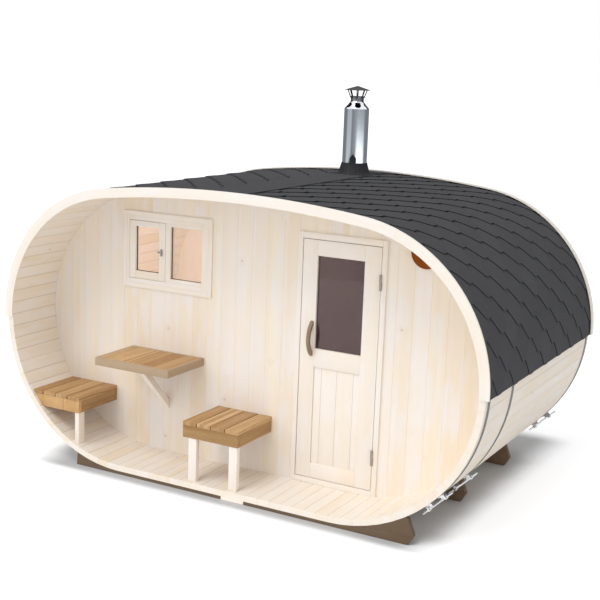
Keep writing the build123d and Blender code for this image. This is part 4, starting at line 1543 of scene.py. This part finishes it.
@dataclass
class Window:
    """Casing, inner frame, mullion, opening sash, fixed light and latch."""

    casing: float = 0.036
    inner_set_back: float = 0.003
    fixed: Sides = (-0.778, -0.497, 1.430, 1.828)
    sash_gap: float = 0.003
    sash_stile: float = 0.057
    sash_top_rail: float = 0.044
    seal_shade_width: float = 0.003
    # Seals round the panes, deep enough to paint the shade on the reveals.
    seal_shade_depth: float = 0.010
    seal_shade_chamfer: float = 0.0005

    def build(self) -> None:
        """Build and dress the window."""
        sash_low, sash_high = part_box("window_sash")
        stile = self.sash_stile
        opening = (sash_low.x + stile, sash_high.x - stile, sash_low.z + stile,
                   sash_high.z - self.sash_top_rail)
        self.frame(sash_low, sash_high)
        boards = boards_round((sash_low.x, sash_high.x, sash_low.z, sash_high.z), opening,
                              sash_low.y, sash_high.y)
        settle(sawn_boards("window_sash_boards", boards, [TRIM], 0.55), BARREL, "trim_spruce",
               "window_sash")
        # Dark seals, which also paint the shade on the reveals.
        self.seals_and_reveal_shade(opening)
        glaze("window_glass", CLEAR)
        dress("window_latch", "window_turn_latch", LATCH, BARREL, "hinge_steel", bevel=0.002)

    def frame(self, sash_low: Vector, sash_high: Vector) -> None:
        """The casing on the wall and the inner frame round both lights.

        Args:
            sash_low: the lowest corner of the sash.
            sash_high: the highest corner of the sash.
        """
        low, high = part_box("window_frame")
        front, mid, back = low.y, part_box("front_wall_left")[0].y, high.y
        c, gap = self.casing, self.sash_gap
        left, right, bottom, top = low.x + c, high.x - c, low.z + c, high.z - c
        boards = boards_round((low.x, high.x, low.z, high.z), (left, right, bottom, top),
                              front, mid)
        inner = front + self.inner_set_back
        sash_left, sash_right = sash_low.x - gap, sash_high.x + gap
        sash_bottom, sash_top = sash_low.z - gap, sash_high.z + gap
        fixed_left, fixed_right, fixed_bottom, fixed_top = self.fixed
        round_lights = boards_round((left, right, bottom, top),
                                    (sash_left, fixed_right, sash_bottom, sash_top), inner, back)
        mullion = Board((sash_right, inner, sash_bottom), (fixed_left, back, sash_top))
        round_lights.insert(2, mullion)
        boards += round_lights
        boards += [
            Board((fixed_left, inner, low_z), (fixed_right, back, high_z), Grain.ACROSS)
            for low_z, high_z in ((fixed_top, sash_top), (sash_bottom, fixed_bottom))
        ]
        settle(sawn_boards("window_frame_boards", boards, [TRIM], 0.2), BARREL, "trim_spruce",
               "window_frame")

    def seals_and_reveal_shade(self, opening: Sides) -> None:
        """Dark glazing seals in front of both panes, flat against the reveals; they are deeper than
        a real seal and also paint the reveals' shade.

        Args:
            opening: the sash's opening.
        """
        far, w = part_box("window_glass")[0].y, self.seal_shade_width
        boards = []
        for left, right, bottom, top in (opening, self.fixed):
            boards += boards_round((left, right, bottom, top),
                                   (left + w, right - w, bottom + w, top - w),
                                   far - self.seal_shade_depth, far, self.seal_shade_chamfer)
        settle(sawn_boards("window_seals_and_reveal_shade", boards, [SEAL_AND_SHADE]), BARREL, "flashing_sheet")


@dataclass
class PorchFurniture:
    """The table on its brace and the two slatted seats."""

    table_planks: int = 5
    table_board: float = 0.028
    plank_gap: float = 0.0003
    plank_chamfer: float = 0.0012
    edge_chamfer: float = 0.0015
    left_seat_front: Span = (-1.2, -1.0)

    def build(self) -> None:
        """Build and dress the porch furniture."""
        self.table()
        self.seats()
        dress("vent_cover", "vent_cover_disc", VENT, BARREL, "vent_wood",
              grain=always(Grain.UPRIGHT))

    def table(self) -> None:
        """Planks along the depth between deep edge boards, and the brace."""
        low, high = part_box("table_top")
        edge, gap, eased = self.table_board, self.plank_gap, self.edge_chamfer
        left, right, front, back = low.x + edge, high.x - edge, low.y + edge, high.y - edge
        pitch = (right - left) / self.table_planks
        boards = [
            Board((left + n * pitch + gap, front, high.z - edge),
                  (left + (n + 1) * pitch - gap, back, high.z), Grain.ALONG, self.plank_chamfer)
            for n in range(self.table_planks)
        ]
        # The edge boards take finish 1, the darker copy of the table wood, which is painted shade.
        boards += [
            Board((low.x, low.y, low.z), (high.x, front, high.z), Grain.ACROSS, eased, 1),
            Board((low.x, back, low.z), (high.x, high.y, high.z), Grain.ACROSS, eased, 1),
            Board((low.x, front, low.z), (left, back, high.z), Grain.ALONG, eased, 1),
            Board((right, front, low.z), (high.x, back, high.z), Grain.ALONG, eased, 1),
        ]
        settle(sawn_boards("table_top_planks", boards, [HEATED, TABLE_EDGE_SHADE], 0.4), BARREL,
               "heat_treated_wood", "table_top")
        dress("table_brace", "table_brace_arm", TRIM, BARREL, "pale_spruce", bevel=0.002, lot=0.4,
              grain=always(Grain.UPRIGHT))

    def on_seat_front(self, place: Vector) -> bool:
        """Whether a place is on the left seat's front board."""
        return place.x < self.left_seat_front[0] and place.y < self.left_seat_front[1]

    def apron_grain(self, middle: Vector, size: Vector) -> Grain:
        """The left seat's front board has upright grain."""
        return Grain.UPRIGHT if self.on_seat_front(middle) else longest_way(middle, size)

    def seats(self) -> None:
        """Slats, aprons and legs of both seats."""
        dress("seat_slats", "seat_slat_boards", HEATED, BARREL, "heat_treated_wood", bevel=0.002,
              grain=always(Grain.ALONG))
        # The aprons take the darker copy of the seat wood, which is painted shade; the left seat's
        # front board takes its own paler finish.
        aprons = carried("seat_aprons", "seat_apron_boards", APRON_SHADE, 0.002, grain=self.apron_grain)
        aprons.data.materials.append(SEAT_FRONT.material())
        for face in aprons.data.polygons:
            if self.on_seat_front(face.center):
                face.material_index = 1
        settle(aprons, BARREL, "heat_treated_wood", "seat_aprons")
        dress("seat_legs", "seat_leg_posts", TRIM, BARREL, "pale_spruce", bevel=0.002,
              grain=always(Grain.UPRIGHT))


@dataclass
class Chimney:
    """The insulated pipe, its cowl and its flashing."""

    cap_level: float = 2.8225
    strut_level: float = 2.800
    neck_level: float = 2.779
    strut_count: int = 8
    strut_radius: float = 0.0040
    strut_foot: Span = (0.0530, 2.8073)
    strut_head: Span = (0.0800, 2.8762)
    lining_profile: tuple[Span, ...] = ((0.0500, 2.7205), (0.0900, 2.7205), (0.0600, 2.7600),
                                        (0.0500, 2.7700))
    lining_steps: int = 48
    neck_radius: float = 0.0532
    flue_share: float = 0.6
    upward: float = 0.9
    inward: float = -0.3
    crease: float = 22.0

    def build(self) -> None:
        """Build and dress the chimney."""
        low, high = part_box("chimney_pipe")
        axis = (low + high) / 2
        pipe = carried("chimney_pipe", "chimney_pipe_steel", CHIMNEY, angle=CREASE)
        pipe.data.materials.append(SOOT_AND_SHADE.material())
        for face in pipe.data.polygons:
            reach = (face.center - axis).xy.length
            # The flue's inside and the pipe's upward faces take the near-black finish: soot, and
            # painted shade.
            if reach < high.x * self.flue_share or face.normal.z > self.upward:
                face.material_index = 1
        settle(pipe, BARREL, "chimney_steel", "chimney_pipe")
        cowl = carried("chimney_cowl", "chimney_cowl_steel", CHIMNEY, angle=self.crease)
        for finish in (COWL, NECK, SOOT_AND_SHADE):
            cowl.data.materials.append(finish.material())
        for face in cowl.data.polygons:
            level, off = face.center.z, (face.center - axis).xy
            outside = off.length > self.neck_radius
            inward = face.normal.xy.dot(off) < self.inward * off.length
            if (outside and level > self.strut_level) or level > self.cap_level:
                face.material_index = 1
            # Inward faces and the neck's inside below the neck level take the near-black finish:
            # soot, and painted shade.
            elif inward or (not outside and level < self.neck_level):
                face.material_index = 3
            elif not outside:
                face.material_index = 2
        settle(joined("chimney_cowl_steel", [cowl, self.struts(axis), self.lining(axis)]), BARREL,
               "chimney_steel", "chimney_cowl")
        dress("chimney_flashing", "chimney_flashing_sheet", FLASHING, BARREL, "flashing_sheet",
              angle=CREASE)

    def struts(self, axis: Vector) -> bpy.types.Object:
        """Round bars flared from the neck to the cap.

        Args:
            axis: a place on the chimney's axis.

        Returns:
            The bars in one mesh.
        """
        mesh = bmesh.new()
        for number in range(self.strut_count):
            turn = Matrix.Rotation(math.tau * (number + 0.5) / self.strut_count, 4, "Z")
            foot, head = (turn @ Vector((reach, 0.0, level)) + Vector((axis.x, axis.y, 0.0))
                          for reach, level in (self.strut_foot, self.strut_head))
            way = head - foot
            bmesh.ops.create_cone(mesh, cap_ends=True, segments=12, radius1=self.strut_radius,
                                  radius2=self.strut_radius, depth=way.length,
                                  matrix=Matrix.Translation((foot + head) / 2)
                                  @ way.to_track_quat("Z", "Y").to_matrix().to_4x4())
        bars = worked("cowl_struts", mesh, COWL)
        soften(bars.data)
        return bars

    def lining(self, axis: Vector) -> bpy.types.Object:
        """A near-black filling between flue and cone that shows through the vent holes: soot, and
        painted shade.

        Args:
            axis: a place on the chimney's axis.

        Returns:
            A ring on the pipe's top.
        """
        mesh = bmesh.new()
        corners = [mesh.verts.new((axis.x + reach, axis.y, level))
                   for reach, level in self.lining_profile]
        edges = [mesh.edges.new((corners[n - 1], corner)) for n, corner in enumerate(corners)]
        bmesh.ops.spin(mesh, geom=corners + edges, cent=(axis.x, axis.y, 0.0), axis=(0.0, 0.0, 1.0),
                       angle=math.tau, steps=self.lining_steps, use_merge=True)
        bmesh.ops.remove_doubles(mesh, verts=mesh.verts, dist=DOUBLES)
        bmesh.ops.recalc_face_normals(mesh, faces=mesh.faces)
        ring = worked("cowl_lining", mesh, SOOT_AND_SHADE)
        soften(ring.data)
        return ring


@dataclass
class Studio:
    """Pale floor, soft light and the camera."""

    camera_place: Point = (4.3045, -7.9517, 3.0970)
    camera_right: Point = (0.87221, 0.48775, 0.03669)
    camera_forward: Point = (-0.47206, 0.85906, -0.19794)
    lens: float = 71.214
    sensor: float = 36.0
    far: float = 400.0
    shift: Span = (0.00917, -0.00183)
    ambient: float = 0.64
    lamps: tuple[tuple[str, Point, float, float], ...] = (
        ("high_front", (-0.10, -0.50, 0.86), 0.95, 25.0),
        ("low_left", (-0.45, -0.75, 0.48), 0.57, 45.0),
    )
    cabin_lamp: float = 17.5
    cabin_colour: Colour = (1.0, 0.89, 0.88)
    cabin_place: Point = (-0.60, -0.585, 1.35)
    cabin_size: Span = (1.2, 0.9)
    surround_radius: float = 9.0
    surround_height: float = 8.0
    card_levels: Span = (1.35, 2.25)
    cards: tuple[tuple[float, float, float, Span], ...] = (
        (-98.0, -45.0, 7.0, (0.60, 0.47)), (-24.0, 30.0, 22.0, (0.33, 0.33)),
        (8.0, 84.0, 14.0, (1.85, 0.36)))
    upper_levels: Span = (3.0, 4.2)
    upper_tones: Span = (0.21, 0.07)
    card_colour: Colour = (0.93, 0.965, 1.0)
    floor_half: float = 150.0
    floor_colour: Colour = (0.95, 0.95, 0.95)
    # Painted floor shadow: a darker camera-only base, a glow that ambient occlusion dims, and a
    # soft box under the barrel.
    floor_shade: Colour = (0.54, 0.55, 0.565)
    floor_glow: float = 0.64
    shadow_reach: float = 0.35
    shadow_steps: Span = (0.39, 0.89)
    shadow_side: Span = (1.78, 1.40)
    shadow_front: Span = (-1.31, -1.20)
    shadow_rear: Span = (1.80, 1.50)
    shadow_flare: float = 0.035

    def build(self) -> None:
        """Set up the studio."""
        self.floor()
        self.world()
        self.suns()
        self.lamp()
        self.surround()
        self.camera()

    def floor(self) -> None:
        """A wide pale floor, white where nothing is near, whose shadow is partly real and partly
        painted: a darker base for camera rays, a camera-only glow dimmed by ambient occlusion, and
        a soft box under the barrel where the glow is taken away.
        """
        h = self.floor_half
        mesh = bpy.data.meshes.new("studio_floor")
        mesh.from_pydata([(-h, -h, 0), (h, -h, 0), (h, h, 0), (-h, h, 0)], [], [(0, 1, 2, 3)])
        floor = placed("studio_floor", mesh)
        material, graph, shader = plain_material("studio_floor")
        shader.inputs["Roughness"].default_value = 0.9
        shader.inputs["Specular IOR Level"].default_value = 0.0
        shader.inputs["Emission Color"].default_value = WHITE
        seen = graph.out(graph.add("ShaderNodeLightPath"), "Is Camera Ray")
        # Camera rays see the darker floor_shade base, painted shade that only the glow lifts back
        # to white.
        graph.feed(shader.inputs["Base Color"],
                   graph.tint(self.floor_colour, self.floor_shade, seen))
        x, y, _ = graph.parts(graph.out(graph.add("ShaderNodeTexCoord"), "Object"))
        # Painted shadow: a soft box under the barrel, flared wider towards the back, takes the glow
        # away.
        reach = graph.math("ABSOLUTE", x) - y * self.shadow_flare
        under = (graph.step(reach, *self.shadow_side) * graph.step(y, *self.shadow_front)
                 * graph.step(y, *self.shadow_rear))
        # Painted shade: the glow fades where ambient occlusion finds the barrel near.
        near = graph.add("ShaderNodeAmbientOcclusion", {"Distance": self.shadow_reach})
        clear_of_painted_shade = graph.step(graph.out(near, "AO"), *self.shadow_steps)
        clear = graph.math("MINIMUM", clear_of_painted_shade, 1.0 - under)
        graph.feed(shader.inputs["Emission Strength"], seen * clear * self.floor_glow)
        mesh.materials.append(material)

    def world(self) -> None:
        """White where it is seen or mirrored, and softer as a light."""
        world = bpy.data.worlds.new("studio")
        bpy.context.scene.world = world
        world.use_nodes = True
        graph = Graph(world.node_tree)
        world.node_tree.nodes.clear()
        path = graph.add("ShaderNodeLightPath")
        camera, glossy, through = (graph.out(path, f"Is {way} Ray")
                                   for way in ("Camera", "Glossy", "Transmission"))
        seen = graph.math("MAXIMUM", graph.math("MAXIMUM", camera, glossy), through)
        strength = graph.blend(seen, self.ambient, 1.0)
        back = graph.add("ShaderNodeBackground", {"Color": WHITE, "Strength": strength})
        graph.add("ShaderNodeOutputWorld", {"Surface": graph.out(back)})

    @staticmethod
    def hang(light: bpy.types.Light, way: Point, up: str) -> bpy.types.Object:
        """Link a light to the scene with its back to a direction.

        Args:
            light: the light.
            way: where its light comes from.
            up: the axis that is kept upright.

        Returns:
            The lamp.
        """
        lamp = bpy.data.objects.new(light.name, light)
        lamp.rotation_mode = "QUATERNION"
        lamp.rotation_quaternion = Vector(way).to_track_quat("Z", up)
        bpy.context.scene.collection.objects.link(lamp)
        return lamp

    def suns(self) -> None:
        """A broad sun high in front and a broader, lower one from the left."""
        for name, way, strength, spread in self.lamps:
            light = bpy.data.lights.new(name, "SUN")
            light.energy = strength
            light.angle = math.radians(spread)
            self.hang(light, way, "Y")

    def lamp(self) -> None:
        """A soft warm panel of light in the cabin, by the front wall and facing back."""
        light = bpy.data.lights.new("cabin_lamp", "AREA")
        light.shape = "RECTANGLE"
        light.size, light.size_y = self.cabin_size
        light.energy = self.cabin_lamp
        light.color = self.cabin_colour
        self.hang(light, (0.0, -1.0, 0.0), "X").location = self.cabin_place

    def surround(self) -> None:
        """Grey and white cards round the object that only mirrored rays see."""
        ring = bmesh.new()
        bmesh.ops.create_cone(ring, cap_ends=False, segments=96, radius1=self.surround_radius,
                              radius2=self.surround_radius, depth=self.surround_height,
                              matrix=Matrix.Translation((0.0, 0.0, self.surround_height / 2)))
        surround = worked("studio_surround", ring)
        for way in ("camera", "diffuse", "shadow", "transmission", "volume_scatter"):
            setattr(surround, f"visible_{way}", False)
        material, graph, _ = plain_material("studio_surround")
        material.node_tree.nodes.clear()
        x, y, z = graph.parts(graph.out(graph.add("ShaderNodeTexCoord"), "Object"))
        view = math.atan2(self.camera_place[1], self.camera_place[0])
        turn = graph.math("WRAP", graph.math("ARCTAN2", y, x) - view, math.pi, -math.pi)
        level = graph.step(z, *self.card_levels)
        grey: Any = graph.blend(graph.step(z, *self.upper_levels), *self.upper_tones)
        for first, last, soft, tones in self.cards:
            low, high, blur = (math.radians(angle) for angle in (first, last, soft))
            band = (graph.step(turn, low - blur, low + blur)
                    * graph.step(turn, high + blur, high - blur))
            grey = graph.blend(band, grey, graph.blend(level, *tones))
        glow = graph.add("ShaderNodeEmission",
                         {"Color": (*self.card_colour, 1.0), "Strength": grey})
        graph.add("ShaderNodeOutputMaterial", {"Surface": graph.out(glow)})
        surround.data.materials.append(material)

    def camera(self) -> None:
        """The studio's camera, by its place and the ways it faces."""
        data = bpy.data.cameras.new("camera")
        data.lens, data.sensor_width = self.lens, self.sensor
        data.shift_x, data.shift_y = self.shift
        data.clip_end = self.far
        eye = bpy.data.objects.new("camera", data)
        bpy.context.scene.collection.objects.link(eye)
        right, forward = Vector(self.camera_right), Vector(self.camera_forward)
        turn = Matrix((right, right.cross(forward), -forward)).transposed().to_4x4()
        eye.matrix_world = Matrix.Translation(self.camera_place) @ turn
        bpy.context.scene.camera = eye


def main() -> None:
    """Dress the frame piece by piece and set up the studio."""
    logging.basicConfig(level=logging.INFO, format="%(name)s %(message)s")
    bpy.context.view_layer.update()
    section = BarrelSection.from_frame()
    for part in (Barrel(section), Roof(section), Doorway(), Window(), PorchFurniture(), Chimney(),
                 Studio()):
        part.build()
        log.info("%s built", type(part).__name__)
    bpy.context.scene.view_settings.view_transform = "Standard"


if __name__ == "__main__":
    main()
